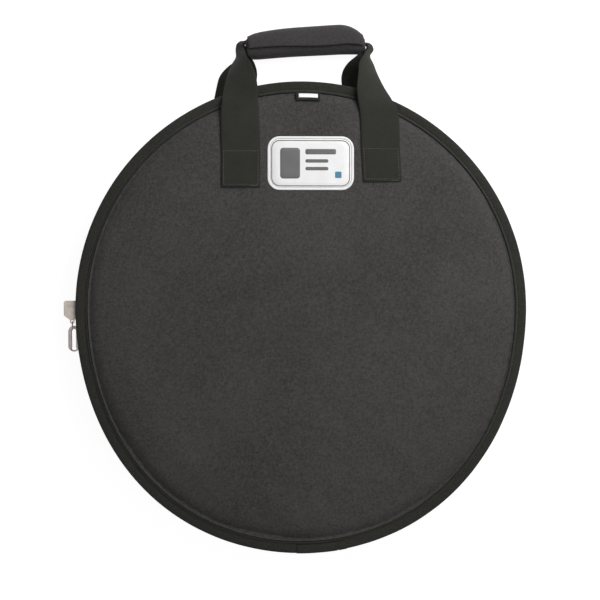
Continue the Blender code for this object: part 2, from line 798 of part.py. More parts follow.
def bend_points(up, right):
    """The webbing's easy bend round one end of the grip, from its side up to its middle."""
    bend = CORE_BEND + up
    points = []
    for i in range(CORE_BEND_STEPS + 1):
        turn = math.pi / 2 * i / CORE_BEND_STEPS
        beyond = (GAP + bend * math.cos(turn)) / GRIP_LENGTH
        rise = bend * math.sin(turn) - CORE_BEND
        points.append(grip_point(1 + beyond if right else -beyond, rise, 0))
    return points


def core_stations(rear, right):
    """Stations round one end of the grip, with the webbing on edge."""
    up = -STACK_SHIFT / 2 if rear else STACK_SHIFT / 2
    upright = Vector((0, 0, 1))
    return [(point, CORE_WEBBING_WIDTH, upright) for point in bend_points(up, right)]


def make_handle_straps():
    """The front and rear loops of webbing."""
    for name, rear in (("front_handle_strap", False), ("rear_handle_strap", True)):
        left_core = core_stations(rear, False)
        right_core = core_stations(rear, True)[::-1]
        left = smoothed(leg_stations(False, rear) + left_core)
        flipped = [(c, w, -a) for c, w, a in leg_stations(True, rear)[::-1]]
        right = smoothed(right_core + flipped)
        place(name, strap_piece(left + right), WEB_COLOUR)


def grip_ring(share, size, inner, outer, first, last, steps):
    """One C-shaped section of the grip, between two offsets from its outline."""
    ring = []
    for distance, order in ((outer, range(steps + 1)), (inner, range(steps, -1, -1))):
        for i in order:
            turn = math.radians(first + (last - first) * i / steps)
            offset = distance(turn) if callable(distance) else distance
            up, out = grip_outline(turn, size, offset)
            ring.append(grip_point(share, up, out))
    return ring


def grip_outline(turn, size, offset):
    """A rounded rectangle's point, at a turn from the top towards the front."""
    cosine = math.cos(turn)
    sine = math.sin(turn)
    up = math.copysign(abs(cosine) ** GRIP_POWER, cosine)
    out = math.copysign(abs(sine) ** GRIP_POWER, sine)
    tall, deep = size
    return up * (GRIP_HEIGHT / 2 * tall + offset), out * (GRIP_DEPTH / 2 * deep + offset)


def core_ring(share, size, first, last, steps):
    """A section of the foam: its outer face follows the shell, its inner face the webbing."""
    ring = []
    for i in range(steps + 1):
        turn = math.radians(first + (last - first) * i / steps)
        up, out = grip_outline(turn, size, -GRIP_SHELL - GAP)
        ring.append(grip_point(share, up, out))
    for i in range(steps, -1, -1):
        turn = math.radians(first + (last - first) * i / steps)
        cosine = math.cos(turn)
        sine = math.sin(turn)
        up = math.copysign(abs(cosine) ** GRIP_CORE_POWER, cosine) * GRIP_CORE_HEIGHT / 2
        out = math.copysign(abs(sine) ** GRIP_CORE_POWER, sine) * GRIP_CORE_DEPTH / 2
        ring.append(grip_point(share, up, out))
    return ring


def make_grip():
    """The wrapped grip: its shell, foam, closing strips and flap."""
    slit_start, slit_end = GRIP_SLIT_DEGREES
    first, last = slit_end, slit_start + 360
    sizes = list(zip(GRIP_HEIGHT_SHARES, GRIP_DEPTH_SHARES))
    stations = list(zip(GRIP_STATION_SHARES, sizes))
    shell = [grip_ring(s, k, -GRIP_SHELL, 0.0, first, last, GRIP_SEGMENTS) for s, k in stations]
    place("grip_shell", loft(shell), SKIN_COLOUR)
    foam = [core_ring(s, k, first, last, GRIP_SEGMENTS) for s, k in stations]
    place("grip_foam", loft(foam), FOAM_COLOUR)

    steps = GRIP_SEGMENTS // 2
    hook_low = GAP
    hook_high = hook_low + HOOK_THICKNESS
    loop_low = hook_high + GAP
    loop_high = loop_low + HOOK_THICKNESS
    hook_stations = clipped(stations, *HOOK_END_SHARES)
    for name, low, high in (
        ("grip_hook_strip", hook_low, hook_high),
        ("grip_loop_strip", loop_low, loop_high),
    ):
        strip = [grip_ring(s, k, low, high, *HOOK_DEGREES, steps // 2) for s, k in hook_stations]
        place(name, loft(strip), TRIM_COLOUR)

    def flap_under(turn):
        reach = math.radians(HOOK_DEGREES[0]) - math.radians(FLAP_START_DEGREES)
        share = min((turn - math.radians(FLAP_START_DEGREES)) / reach, 1)
        return FLAP_HINGE_GAP + (loop_high + GAP - FLAP_HINGE_GAP) * share

    def flap_over(turn):
        return flap_under(turn) + FLAP_THICKNESS

    flap_stations = clipped(stations, *FLAP_END_SHARES)
    flap = [
        grip_ring(s, k, flap_under, flap_over, FLAP_START_DEGREES, FLAP_END_DEGREES, steps)
        for s, k in flap_stations
    ]
    place("grip_flap", loft(flap), SKIN_COLOUR)


def clipped(stations, low, high):
    """The grip's stations between two shares of its length, with the ends worked out."""
    kept = [(low, size_at(stations, low))]
    kept += [(s, k) for s, k in stations if low < s < high]
    return kept + [(high, size_at(stations, high))]


def size_at(stations, share):
    """The grip's size at a share of its length."""
    for (s0, k0), (s1, k1) in zip(stations, stations[1:]):
        if s0 <= share <= s1:
            near = (share - s0) / (s1 - s0)
            return tuple(a + (b - a) * near for a, b in zip(k0, k1))
    return stations[-1][1]


def rounded_outline(centre, width, height, corner):
    """A rectangle with round corners, on the front panel."""
    points = []
    for point in rounded_path(width, height, corner):
        points.append(Vector((centre[0] + point.x, centre[1] + point.y, 0)))
    return points


def make_badge_and_label():
    """A flat badge with a raised rim, and the loop label beside the seam."""
    base = BAG_DEPTH + GAP
    rim_top = base + BADGE_THICKNESS + BADGE_RIM_RISE
    field_top = base + BADGE_THICKNESS
    inner_width = BADGE_WIDTH - 2 * BADGE_RIM
    inner_height = BADGE_HEIGHT - 2 * BADGE_RIM
    inner_corner = BADGE_CORNER - BADGE_RIM
    outer = rounded_outline(BADGE_CENTRE, BADGE_WIDTH, BADGE_HEIGHT, BADGE_CORNER)
    inner = rounded_outline(BADGE_CENTRE, inner_width, inner_height, inner_corner)
    lift = (
        (outer, base),
        (outer, rim_top),
        (inner, rim_top),
        (inner, field_top),
    )
    rings = [[point + Vector((0, 0, height)) for point in line] for line, height in lift]
    place("badge", loft(rings), BADGE_COLOUR, 0.6)

    slope = [point for point in roll_line() if point[0] < LABEL_INSET + LABEL_LENGTH]
    near = offset_line(slope, -GAP)
    far = offset_line(slope, -GAP - LABEL_THICKNESS)
    kept = [i for i, point in enumerate(near) if point[0] > LABEL_INSET - GAP]
    profile = [near[i] for i in kept] + [far[i] for i in kept[::-1]]
    half = LABEL_WIDTH / 2
    reach = BAG_RADIUS - LABEL_INSET
    start = math.acos((LABEL_CENTRE_X + half) / reach)
    end = math.acos((LABEL_CENTRE_X - half) / reach)
    place("label_tag", band(on_front(profile), start, end), TRIM_COLOUR)


def make_dividers():
    """Two loose sheets that lie on the back lining, cut to the bag's outline."""
    low = LINING_TOP + GAP
    for name in ("divider_1", "divider_2"):
        top = low + DIVIDER_THICKNESS
        place(name, disc([(DIVIDER_CLEARANCE, low), (DIVIDER_CLEARANCE, top)]), LINING_COLOUR)
        low = top + GAP


def strap_box(right, low, high, margin):
    """A block round a rear strap's place, from one height to another."""
    base, top = anchor_ends(right, True)
    half = WEBBING_WIDTH / 2 + margin
    lean = Vector((*leg_place(1, right), 0))
    lean.x += REAR_SHIFT * (1 - FRONT_DROP_SHARES[1] / FRONT_DROP_SHARES[-1])
    steer = (lean.x - top.x) / (lean.y - top.y)
    end_x = top.x + steer * (POCKET_TOP - top.y)
    start_y = base.y - margin
    outline = [
        Vector((base.x - half, start_y, low)),
        Vector((base.x + half, start_y, low)),
        Vector((top.x + half, top.y, low)),
        Vector((end_x + half, POCKET_TOP, low)),
        Vector((end_x - half, POCKET_TOP, low)),
        Vector((top.x - half, top.y, low)),
    ]
    return prism(outline, (0, 0, high - low))


def guide(name, bm):
    """A solid that only shapes another one."""
    piece = place(name, bm, TRIM_COLOUR)
    piece.hide_render = True
    piece.display_type = "WIRE"
    return piece


def add_boolean(piece, other, operation):
    """Joins a guide to a piece, or cuts it out."""
    step = piece.modifiers.new(other.name, "BOOLEAN")
    step.object = other
    step.operation = operation
    step.solver = "EXACT"


def solid_back_profile():
    """The back skin's outer face, closed flat across at the top of the seam."""
    return roll_line() + [(SEAM_EDGE, SKIN_SEAM), (SEAM_EDGE, SKIN_SEAM + SKIN)]


def hollow_profile():
    """The space inside the back skin, run past its open side."""
    inner = offset_line(roll_line(), SKIN)
    return inner + [(inner[-1][0], SKIN_SEAM + SKIN + CUT_OVERRUN)]


def press_in_rear_straps(back_skin, back_foam):
    """Hollows the back skin, with shallow pockets where the rear webbing is pressed in flush."""
    hollow = guide("skin_hollow", disc(hollow_profile()))
    add_boolean(back_skin, hollow, "DIFFERENCE")
    for side, right in (("left", False), ("right", True)):
        margin = POCKET_CLEARANCE + SKIN
        tray_box = strap_box(right, -CUT_OVERRUN, POCKET_DEPTH + SKIN, margin)
        add_boolean(hollow, guide("tray_" + side, tray_box), "DIFFERENCE")
        room = strap_box(right, -CUT_OVERRUN, POCKET_DEPTH + SKIN + GAP, margin + GAP)
        add_boolean(back_foam, guide("foam_room_" + side, room), "DIFFERENCE")
        pocket = strap_box(right, -CUT_OVERRUN, POCKET_DEPTH, POCKET_CLEARANCE)
        add_boolean(back_skin, guide("pocket_" + side, pocket), "DIFFERENCE")


def shade_round_pieces():
    """Smooth shading on pieces that are round."""
    for name in ("grip_shell", "grip_flap", "grip_foam", "puller_link"):
        mesh = bpy.data.objects[name].data
        mesh.shade_smooth()
        mesh.set_sharp_from_angle(angle=math.radians(SHARP_DEGREES))


def main():
    clear_scene()
    back_skin, back_foam = make_panels()
    make_bindings()
    make_wall_and_zip()
    make_zip_ends()
    make_slider()
    make_puller()
    make_anchors()
    make_handle_straps()
    make_grip()
    make_badge_and_label()
    make_dividers()
    press_in_rear_straps(back_skin, back_foam)
    shade_round_pieces()


main()
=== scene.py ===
# %% [markdown]
# A round padded cymbal bag, dressed for the camera around its imported CAD model.
# The CAD model gives every place and every moving body. This script gives the cloth, webbing, thread,
# zip and metal their real shapes and finishes. It ties many new pieces to the body that they move with,
# and bakes the others in place.
# The bag lies on its back: +Z comes out of the front panel, +Y points to the handle, +X to the right.

# %% Load the imported model
import json
import math

import bmesh
import bpy
import numpy as np
from mathutils import Matrix, Vector


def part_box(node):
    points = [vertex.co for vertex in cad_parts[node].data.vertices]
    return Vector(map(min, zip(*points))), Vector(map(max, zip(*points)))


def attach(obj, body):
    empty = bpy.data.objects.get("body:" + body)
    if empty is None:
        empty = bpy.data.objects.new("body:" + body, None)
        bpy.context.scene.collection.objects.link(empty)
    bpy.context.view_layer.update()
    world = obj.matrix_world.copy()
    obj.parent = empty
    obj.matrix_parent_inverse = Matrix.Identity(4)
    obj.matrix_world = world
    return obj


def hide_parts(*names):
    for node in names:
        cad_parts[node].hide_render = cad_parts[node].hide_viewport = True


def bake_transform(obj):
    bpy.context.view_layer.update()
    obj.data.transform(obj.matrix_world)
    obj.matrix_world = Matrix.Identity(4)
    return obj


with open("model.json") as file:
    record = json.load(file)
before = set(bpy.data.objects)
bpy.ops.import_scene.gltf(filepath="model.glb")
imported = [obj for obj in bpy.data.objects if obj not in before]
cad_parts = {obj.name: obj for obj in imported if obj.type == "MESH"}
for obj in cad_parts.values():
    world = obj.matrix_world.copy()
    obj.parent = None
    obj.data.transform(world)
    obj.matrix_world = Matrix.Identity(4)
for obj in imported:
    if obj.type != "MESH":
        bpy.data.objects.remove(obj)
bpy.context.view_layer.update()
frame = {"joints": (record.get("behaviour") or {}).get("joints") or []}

# %% [markdown]
# Sizes could be typed in again, but they would drift from the solids. They are read from the packed
# nodes where they can be. The outline is a circle above the centre and a slightly longer half ellipse
# below it. The bag is a stack along Z: back panel, rear flange, wall with the zip, front flange, panel.

# %% Sizes of the bag
low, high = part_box("rear_binding")
RADIUS = high.x
LOWER = -low.y
FRONT_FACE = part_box("front_skin_upper")[1].z
ROLL_END = 0.0156
FLAT_INSET = 0.034
FOLD_Y = frame["joints"][0]["pos_m"][1]
MIDDLE = FRONT_FACE / 2
ZIP_SLIT = 0.0016
ZIP_END_Y = -0.023
FOOT = "back_and_wall"
WEB_WIDTH = 0.0508
WEB = 0.0018
GAP = 0.0003
REAR_SHIFT = -0.007

# Base and top of each strap's sewn end, by whether it is the right one.
SEWN = {
    False: ((-0.0812, 0.1577), (-0.0812, 0.2060)),
    True: ((0.1037, 0.1650), (0.1015, 0.2095)),
}


# %% [markdown]
# Every new piece is a surface on a grid of points. Modelling by hand or with curve objects would do,
# but a grid worked out as one array is exact and quick. One helper turns such a grid into a mesh, with
# a UV map in metres, so that a weave has the same thread size on every piece.

# %% Helpers that turn grids of points into meshes
def grid_quads(rows, cols, close_rows=False, close_cols=False):
    """Quads of a grid: (i, j) is joined to (i+1, j), (i+1, j+1) and (i, j+1), wrapping where closed."""
    i, j = np.meshgrid(
        np.arange(rows if close_rows else rows - 1),
        np.arange(cols if close_cols else cols - 1),
        indexing="ij",
    )
    after_i, after_j = (i + 1) % rows, (j + 1) % cols
    corners = [i * cols + j, after_i * cols + j, after_i * cols + after_j, i * cols + after_j]
    return np.stack(corners, axis=-1).reshape(-1, 4), (i, j)


def ladder_cap(start, cols, flip):
    """Quads that close a flat ring of an even number of points: each rung joins point k to its mirror."""
    k = np.arange(cols // 2 - 1)
    quads = start + np.stack([k, k + 1, cols - 2 - k, cols - 1 - k], axis=-1)
    return quads[:, ::-1] if flip else quads


def signed_volume(points, quads):
    """Sum of the tetrahedra from the origin to each face, positive when faces point outwards."""
    a, b, c, d = (points[quads[:, n]] for n in range(4))
    first = np.einsum("ij,ij->i", a, np.cross(b, c))
    second = np.einsum("ij,ij->i", a, np.cross(c, d))
    return float((first + second).sum() / 6)


def placed(name, data):
    """A new object at the origin, in the scene."""
    made = bpy.data.objects.new(name, data)
    bpy.context.scene.collection.objects.link(made)
    return made


def mesh_object(name, points, quads, corner_uv, finish):
    """A smooth mesh object at the origin from points, quads and one UV for each face corner."""
    mesh = bpy.data.meshes.new(name)
    mesh.vertices.add(len(points))
    mesh.vertices.foreach_set("co", points.astype(np.float32).ravel())
    mesh.loops.add(quads.size)
    mesh.loops.foreach_set("vertex_index", quads.astype(np.int32).ravel())
    mesh.polygons.add(len(quads))
    mesh.polygons.foreach_set("loop_start", np.arange(0, quads.size, 4, dtype=np.int32))
    mesh.update(calc_edges=True)
    layer = mesh.uv_layers.new(name="metres")
    layer.data.foreach_set("uv", corner_uv.astype(np.float32).ravel())
    mesh.materials.append(finish)
    mesh.shade_smooth()
    return placed(name, mesh)


def grid_piece(name, grid, uv, finish, close_rows=False, close_cols=False, caps=False):
    """A mesh from a grid of points. uv has one more row or column than the grid where it is closed."""
    rows, cols = grid.shape[:2]
    quads, (i, j) = grid_quads(rows, cols, close_rows, close_cols)
    corners = np.stack([uv[i, j], uv[i + 1, j], uv[i + 1, j + 1], uv[i, j + 1]], axis=-2)
    corners = corners.reshape(-1, 4, 2)
    if caps:
        for row, flip in ((0, False), (rows - 1, True)):
            cap = ladder_cap(row * cols, cols, flip)
            quads = np.vstack([quads, cap])
            corners = np.concatenate([corners, uv[row, cap - row * cols]])
    points = grid.reshape(-1, 3)
    if (close_cols or close_rows) and signed_volume(points, quads) < 0:
        quads, corners = quads[:, ::-1], corners[:, ::-1]
    return mesh_object(name, points, quads, corners, finish)


def repeated(name, shape, frames, places, finish):
    """One mesh of a small closed shape: its points times each frame's three directions, plus each place."""
    rows, cols = shape.shape[:2]
    own = shape.reshape(-1, 3)
    quads, _ = grid_quads(rows, cols, close_cols=True)
    quads = np.vstack([quads, ladder_cap(0, cols, False), ladder_cap((rows - 1) * cols, cols, True)])
    if signed_volume(own, quads) < 0:
        quads = quads[:, ::-1]
    points = (np.einsum("pk,nkd->npd", own, frames) + places[:, None]).reshape(-1, 3)
    every = ((np.arange(len(places)) * rows * cols)[:, None, None] + quads[None]).reshape(-1, 4)
    uv = points[every.reshape(-1)][:, :2].reshape(-1, 4, 2)
    return mesh_object(name, points, every, uv, finish)


def unit(vectors):
    """Vectors of length 1."""
    return vectors / np.linalg.norm(vectors, axis=-1, keepdims=True)


def lengths(points, closed=False):
    """Distance along a line of points from its first one, with the closing length last where closed."""
    line = np.vstack([points, points[:1]]) if closed else points
    return np.concatenate([[0], np.cumsum(np.linalg.norm(np.diff(line, axis=0), axis=1))])


def spots_on(line, at, stops):
    """Points of a line at stops, where at is the distance of its own points."""
    return np.stack([np.interp(stops, at, line[:, k]) for k in range(3)], axis=1)


def uv_grid(along, across):
    """A UV map from the distances along and across a grid."""
    return np.stack(np.meshgrid(along, across, indexing="ij"), axis=-1)


def waves(x, y, seed, wavelength, count=7):
    """Slow uneven relief between about -1 and 1: a sum of sines in random directions and phases."""
    random = np.random.default_rng(seed)
    turn = random.uniform(0, math.pi, count)
    step = math.tau / (wavelength * random.uniform(0.7, 1.6, count))
    phase = random.uniform(0, math.tau, count)
    total = sum(np.sin(s * (np.cos(t) * x + np.sin(t) * y) + p) for t, s, p in zip(turn, step, phase))
    return total / math.sqrt(count)


def ripple(angle, seed, *parts):
    """Uneven waves round the bag: a sum of sines, each with its count, its shift by the seed, its share."""
    return sum(np.sin(count * angle + shift * seed) * share for count, shift, share in parts)


def ease(value, start, end):
    """Rises smoothly from 0 at start to 1 at end."""
    t = np.clip((value - start) / (end - start), 0, 1)
    return t * t * (3 - 2 * t)


# %% [markdown]
# The bag's outline leads every seam, tape and wall. A traced curve would carry the photograph's
# perspective along, so the outline is a formula in the angle, with an inset that moves it inwards.

# %% The bag's outline
LOWER_FULLNESS = 0.0045


def rim(angle, inset):
    """Points of the outline moved in by inset: cosine times the half width, sine times the reach.

    Below the zip the stuffed bag is a little fuller between its sides and its bottom, by a squared sine
    of twice the angle. The zip's own stretch stays a true circle, because the slider runs on it.
    """
    angle, inset = np.broadcast_arrays(angle, inset)
    below = np.sin(angle) < 0
    fuller = np.where(below, LOWER_FULLNESS * np.sin(2 * angle) ** 2, 0.0)
    reach = np.where(below, LOWER, RADIUS)
    x = (RADIUS - inset + fuller) * np.cos(angle)
    y = (reach - inset + fuller) * np.sin(angle)
    return np.stack([x, y, np.zeros_like(x)], axis=-1)


def turns(count, start=0.0, end=math.tau, closed=True):
    """Angles round the outline, the last one left out where it closes."""
    return np.linspace(start, end, count, endpoint=not closed)


def side_turn(y, right=False):
    """The outline's angle where its left or right side passes a height."""
    lift = math.asin(y / (RADIUS if y >= 0 else LOWER))
    return lift if right else math.pi - lift


def band_piece(name, profile, finish, start=None, end=None, count=720, warp=None):
    """Carries a closed profile of (inset, z) round the outline, all of it or from start to end."""
    whole = start is None
    angles = turns(count) if whole else turns(count, start, end, closed=False)
    inset, z = profile[:, 0], profile[:, 1]
    grid = rim(angles[:, None], inset[None, :])
    grid[..., 2] = z[None, :]
    if warp is not None:
        grid = warp(grid, angles[:, None], inset[None, :])
    along = lengths(rim(angles, 0.0), closed=whole)
    across = lengths(profile, closed=True)
    uv = uv_grid(along, across)
    return grid_piece(name, grid, uv, finish, close_rows=whole, close_cols=True, caps=not whole)


def on_front(profile):
    """The same profile of (inset, depth), seen from the front panel's side as (inset, z)."""
    return np.stack([profile[:, 0], FRONT_FACE - profile[:, 1]], axis=1)


# %% [markdown]
# The photograph looks at the front panel from about three metres, a little from the left and from
# above. The bag could be stood up for it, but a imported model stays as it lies, so the camera stands
# over the bag. Its frame is set by what 600 pixels cover there.

# %% Camera
VIEW_CENTRE = Vector((-0.004, 0.0106, FRONT_FACE))
VIEW_WIDTH = 0.7825
VIEW_DISTANCE = 3.0
VIEW_LEFT = math.radians(4.5)
VIEW_UP = math.radians(1.5)
SENSOR = 36.0


def aim(item, place, target, up=Vector((0, 1, 0))):
    """Puts a lamp or camera at a place, looking at a target."""
    back = (place - target).normalized()
    right = up.cross(back).normalized()
    turned = Matrix((right, back.cross(right), back)).transposed()
    item.matrix_world = Matrix.Translation(place) @ turned.to_4x4()


camera = placed("camera", bpy.data.cameras.new("camera"))
camera.data.sensor_width = SENSOR
camera.data.lens = SENSOR * VIEW_DISTANCE / VIEW_WIDTH
toward = Vector((-math.sin(VIEW_LEFT), math.sin(VIEW_UP), math.cos(VIEW_LEFT) * math.cos(VIEW_UP)))
aim(camera, VIEW_CENTRE + toward * VIEW_DISTANCE, VIEW_CENTRE)
bpy.context.scene.camera = camera
bpy.context.scene.view_settings.view_transform = "Standard"
print("lens in mm:", round(camera.data.lens, 1))

# %% [markdown]
# The studio is plain: a pale surface, an even white surround and two large soft lamps. An image of a
# studio would light the bag too, but lamps of plain levels can be read and changed. They and the
# surround together light a level surface to about 1, so a colour renders about as it is written.


# %% Nodes, floor and lamps
def link(tree, source, target):
    """Joins an output socket to an input socket."""
    tree.links.new(source, target)


def node(tree, kind, values=None, **settings):
    """A node with its settings, and its sockets set or linked by name or number."""
    made = tree.nodes.new(kind)
    for key, value in settings.items():
        setattr(made, key, value)
    for key, value in (values or {}).items():
        if isinstance(value, bpy.types.NodeSocket):
            link(tree, value, made.inputs[key])
        else:
            made.inputs[key].default_value = value
    return made


def maths(tree, operation, *values):
    """The result of a Math node."""
    return node(tree, "ShaderNodeMath", dict(enumerate(values)), operation=operation).outputs[0]


def seen_by_eye(tree):
    """1 for rays that come from the camera, a reflection or a see-through surface."""
    ray = node(tree, "ShaderNodeLightPath").outputs
    mirrored = maths(tree, "MAXIMUM", ray["Is Glossy Ray"], ray["Is Transmission Ray"])
    return maths(tree, "MAXIMUM", ray["Is Camera Ray"], mirrored)


SURROUND_LEVEL = 0.20
FLOOR_GLOW = 0.94
FLOOR_COLOUR = (0.24, 0.24, 0.24, 1)
WHITE = (1, 1, 1, 1)

world = bpy.data.worlds.new("surround")
bpy.context.scene.world = world
world.use_nodes = True
sky = world.node_tree.nodes["Background"]
seen = seen_by_eye(world.node_tree)
brighter = maths(world.node_tree, "MULTIPLY_ADD", seen, 1 - SURROUND_LEVEL, SURROUND_LEVEL)
link(world.node_tree, brighter, sky.inputs["Strength"])
sky.inputs["Color"].default_value = WHITE

floor_finish = bpy.data.materials.new("floor")
floor_finish.use_nodes = True
floor_shader = floor_finish.node_tree.nodes["Principled BSDF"]
floor_shader.inputs["Base Color"].default_value = FLOOR_COLOUR
floor_shader.inputs["Roughness"].default_value = 1.0
floor_shader.inputs["Specular IOR Level"].default_value = 0.0
floor_shader.inputs["Emission Color"].default_value = WHITE
glow = maths(floor_finish.node_tree, "MULTIPLY", seen_by_eye(floor_finish.node_tree), FLOOR_GLOW)
link(floor_finish.node_tree, glow, floor_shader.inputs["Emission Strength"])

FLOOR_HALF = 6.0
FLOOR_Z = -0.0004
floor_mesh = bpy.data.meshes.new("floor")
corners = [(x * FLOOR_HALF, y * FLOOR_HALF, FLOOR_Z) for x, y in ((-1, -1), (1, -1), (1, 1), (-1, 1))]
floor_mesh.from_pydata(corners, [], [(0, 1, 2, 3)])
floor_mesh.materials.append(floor_finish)
floor = placed("floor", floor_mesh)


LAMP_UP = Vector((0.1, 1, 0.2))


def soft_lamp(name, place, size, level):
    """A square area lamp that gives the bag's middle an irradiance of level times pi, facing it."""
    lamp = bpy.data.lights.new(name, "AREA")
    lamp.size = size
    distance = Vector(place).length
    lamp.energy = level * math.pi * math.pi * distance**2
    holder = placed(name, lamp)
    holder.visible_camera = False
    aim(holder, Vector(place), Vector((0, 0, 0)), LAMP_UP)


soft_lamp("key_lamp", place=(0.62, 0.90, 1.05), size=0.9, level=0.80)
soft_lamp("fill_lamp", place=(1.2, -0.9, 2.4), size=1.6, level=0.10)

# %% [markdown]
# The cloth of the bag is a plain woven nylon. Its weave is finer than a pixel of the photograph, which
# shows it as a fine grain with slow light and dark patches. A picture of cloth would repeat, so the
# finish is worked out, in three scales: the threads as a bump, single thicker threads as short
# streaks, and the slow patches where the foam pushes. Every cloth shares the weave as a node group.


# %% Node group: woven cloth
FINE_SCALE, FINE_SHARE = 700.0, 0.30
STREAK_SCALE, STREAK_SHARE = 1300.0, 0.35
STREAK_STRETCH = 0.12


def new_group(name, inputs, outputs):
    """A shader node group with float or vector sockets, and its input and output nodes."""
    group = bpy.data.node_groups.new(name, "ShaderNodeTree")
    for label, kind in inputs:
        group.interface.new_socket(label, in_out="INPUT", socket_type="NodeSocket" + kind)
    for label, kind in outputs:
        group.interface.new_socket(label, in_out="OUTPUT", socket_type="NodeSocket" + kind)
    start = group.nodes.new("NodeGroupInput")
    end = group.nodes.new("NodeGroupOutput")
    return group, start.outputs, end.inputs


def noise(tree, vector, scale, detail=2.0):
    """A noise texture's value at a scale in cells per metre."""
    return node(tree, "ShaderNodeTexNoise", {"Vector": vector, "Scale": scale, "Detail": detail}).outputs["Fac"]


def drawn_out(tree, vector, stretch):
    """The vector with each of its parts multiplied by that of stretch."""
    values = {0: vector, 1: stretch}
    return node(tree, "ShaderNodeVectorMath", values, operation="MULTIPLY").outputs[0]


def make_weave():
    """Plain weave: threads cross over and under. Height is the upper thread's round back."""
    group, given, result = new_group(
        "plain_weave",
        [("Place", "Vector"), ("Thread", "Float")],
        [("Height", "Float"), ("Grain", "Float")],
    )
    split = node(group, "ShaderNodeSeparateXYZ", {0: given["Place"]}).outputs
    threads = [maths(group, "DIVIDE", split[k], given["Thread"]) for k in (0, 1)]
    waves_xy = [maths(group, "SINE", maths(group, "MULTIPLY", count, math.pi)) for count in threads]
    backs = [maths(group, "ABSOLUTE", wave) for wave in waves_xy]
    over = maths(group, "GREATER_THAN", maths(group, "MULTIPLY", *waves_xy), 0.0)
    under = maths(group, "SUBTRACT", 1.0, over)
    upper = [maths(group, "MULTIPLY", side, back) for side, back in zip((over, under), backs)]
    link(group, maths(group, "ADD", *upper), result["Height"])
    fine = noise(group, given["Place"], FINE_SCALE)
    streaks = []
    for stretch in ((1.0, STREAK_STRETCH, 1.0), (STREAK_STRETCH, 1.0, 1.0)):
        drawn = drawn_out(group, given["Place"], stretch)
        streaks.append(noise(group, drawn, STREAK_SCALE, 1.0))
    both = maths(group, "ADD", *streaks)
    grain = maths(group, "MULTIPLY_ADD", both, STREAK_SHARE, maths(group, "MULTIPLY", fine, FINE_SHARE))
    link(group, grain, result["Grain"])
    return group


weave = make_weave()
print("woven cloth group:", len(weave.nodes), "nodes")


# %% Finishes of the cloths and tapes
SLOW_SHARE, GRAIN_SHARE, HEIGHT_SHARE, MOTTLE_SHARE = 0.24, 0.65, 0.12, 0.40
SHADE_SHIFT = 0.055
DARKEST, LIGHTEST = 0.38, 0.72
MOTTLE_SCALE = 300.0
GRAIN_BUMP = 0.6


def new_finish(name, roughness, **sockets):
    """A material with plain values on its shader's own sockets."""
    finish = bpy.data.materials.new(name)
    finish.use_nodes = True
    shader = finish.node_tree.nodes["Principled BSDF"]
    shader.inputs["Roughness"].default_value = roughness
    for key, value in sockets.items():
        shader.inputs[key.replace("_", " ")].default_value = value
    return finish, finish.node_tree, shader.inputs


def mixed(tree, factor, dark, light):
    """A colour between dark and light."""
    mix = node(tree, "ShaderNodeMix", data_type="RGBA")
    link(tree, factor, mix.inputs[0])
    for socket, value in ((6, dark), (7, light)):
        if isinstance(value, bpy.types.NodeSocket):
            link(tree, value, mix.inputs[socket])
        else:
            mix.inputs[socket].default_value = (*value, 1)
    return mix.outputs[2]


def stretched(tree, value, low, high, to_low=0.0, to_high=1.0):
    """Maps a value from one range to another, held at the ends."""
    values = {0: value, 1: low, 2: high, 3: to_low, 4: to_high}
    return node(tree, "ShaderNodeMapRange", values).outputs[0]


def bumped(tree, height, distance):
    """A bump normal from a height in the same unit as distance, in metres."""
    return node(tree, "ShaderNodeBump", {"Height": height, "Distance": distance}).outputs[0]


def cloth(name, dark, light, thread, on_uv, depth=0.00012, rough=0.82, sheen=0.12, shine=0.35):
    """Woven cloth in a dark and a light shade, with its weave on the UV map or in the object's plane."""
    soft = {"Sheen_Weight": sheen, "Sheen_Roughness": 0.45, "Specular_IOR_Level": shine}
    finish, tree, sockets = new_finish(name, rough, **soft)
    coordinates = node(tree, "ShaderNodeTexCoord").outputs
    woven = node(tree, "ShaderNodeGroup", node_tree=weave)
    link(tree, coordinates["UV" if on_uv else "Object"], woven.inputs["Place"])
    woven.inputs["Thread"].default_value = thread
    grain, height = woven.outputs["Grain"], woven.outputs["Height"]
    slow = noise(tree, coordinates["Object"], 9.0, 3.0)
    shade = maths(tree, "MULTIPLY_ADD", grain, GRAIN_SHARE, SHADE_SHIFT)
    shade = maths(tree, "MULTIPLY_ADD", slow, SLOW_SHARE, shade)
    # Lighter on the upper thread's round back and darker in the dips between threads: painted shade.
    shade = maths(tree, "MULTIPLY_ADD", height, HEIGHT_SHARE, shade)
    mottle = maths(tree, "SUBTRACT", noise(tree, coordinates["Object"], MOTTLE_SCALE, 2.0), 0.5)
    shade = maths(tree, "ADD", shade, maths(tree, "MULTIPLY", mottle, MOTTLE_SHARE))
    link(tree, mixed(tree, stretched(tree, shade, DARKEST, LIGHTEST), dark, light), sockets["Base Color"])
    total = maths(tree, "MULTIPLY_ADD", grain, GRAIN_BUMP, height)
    link(tree, bumped(tree, total, depth), sockets["Normal"])
    return finish


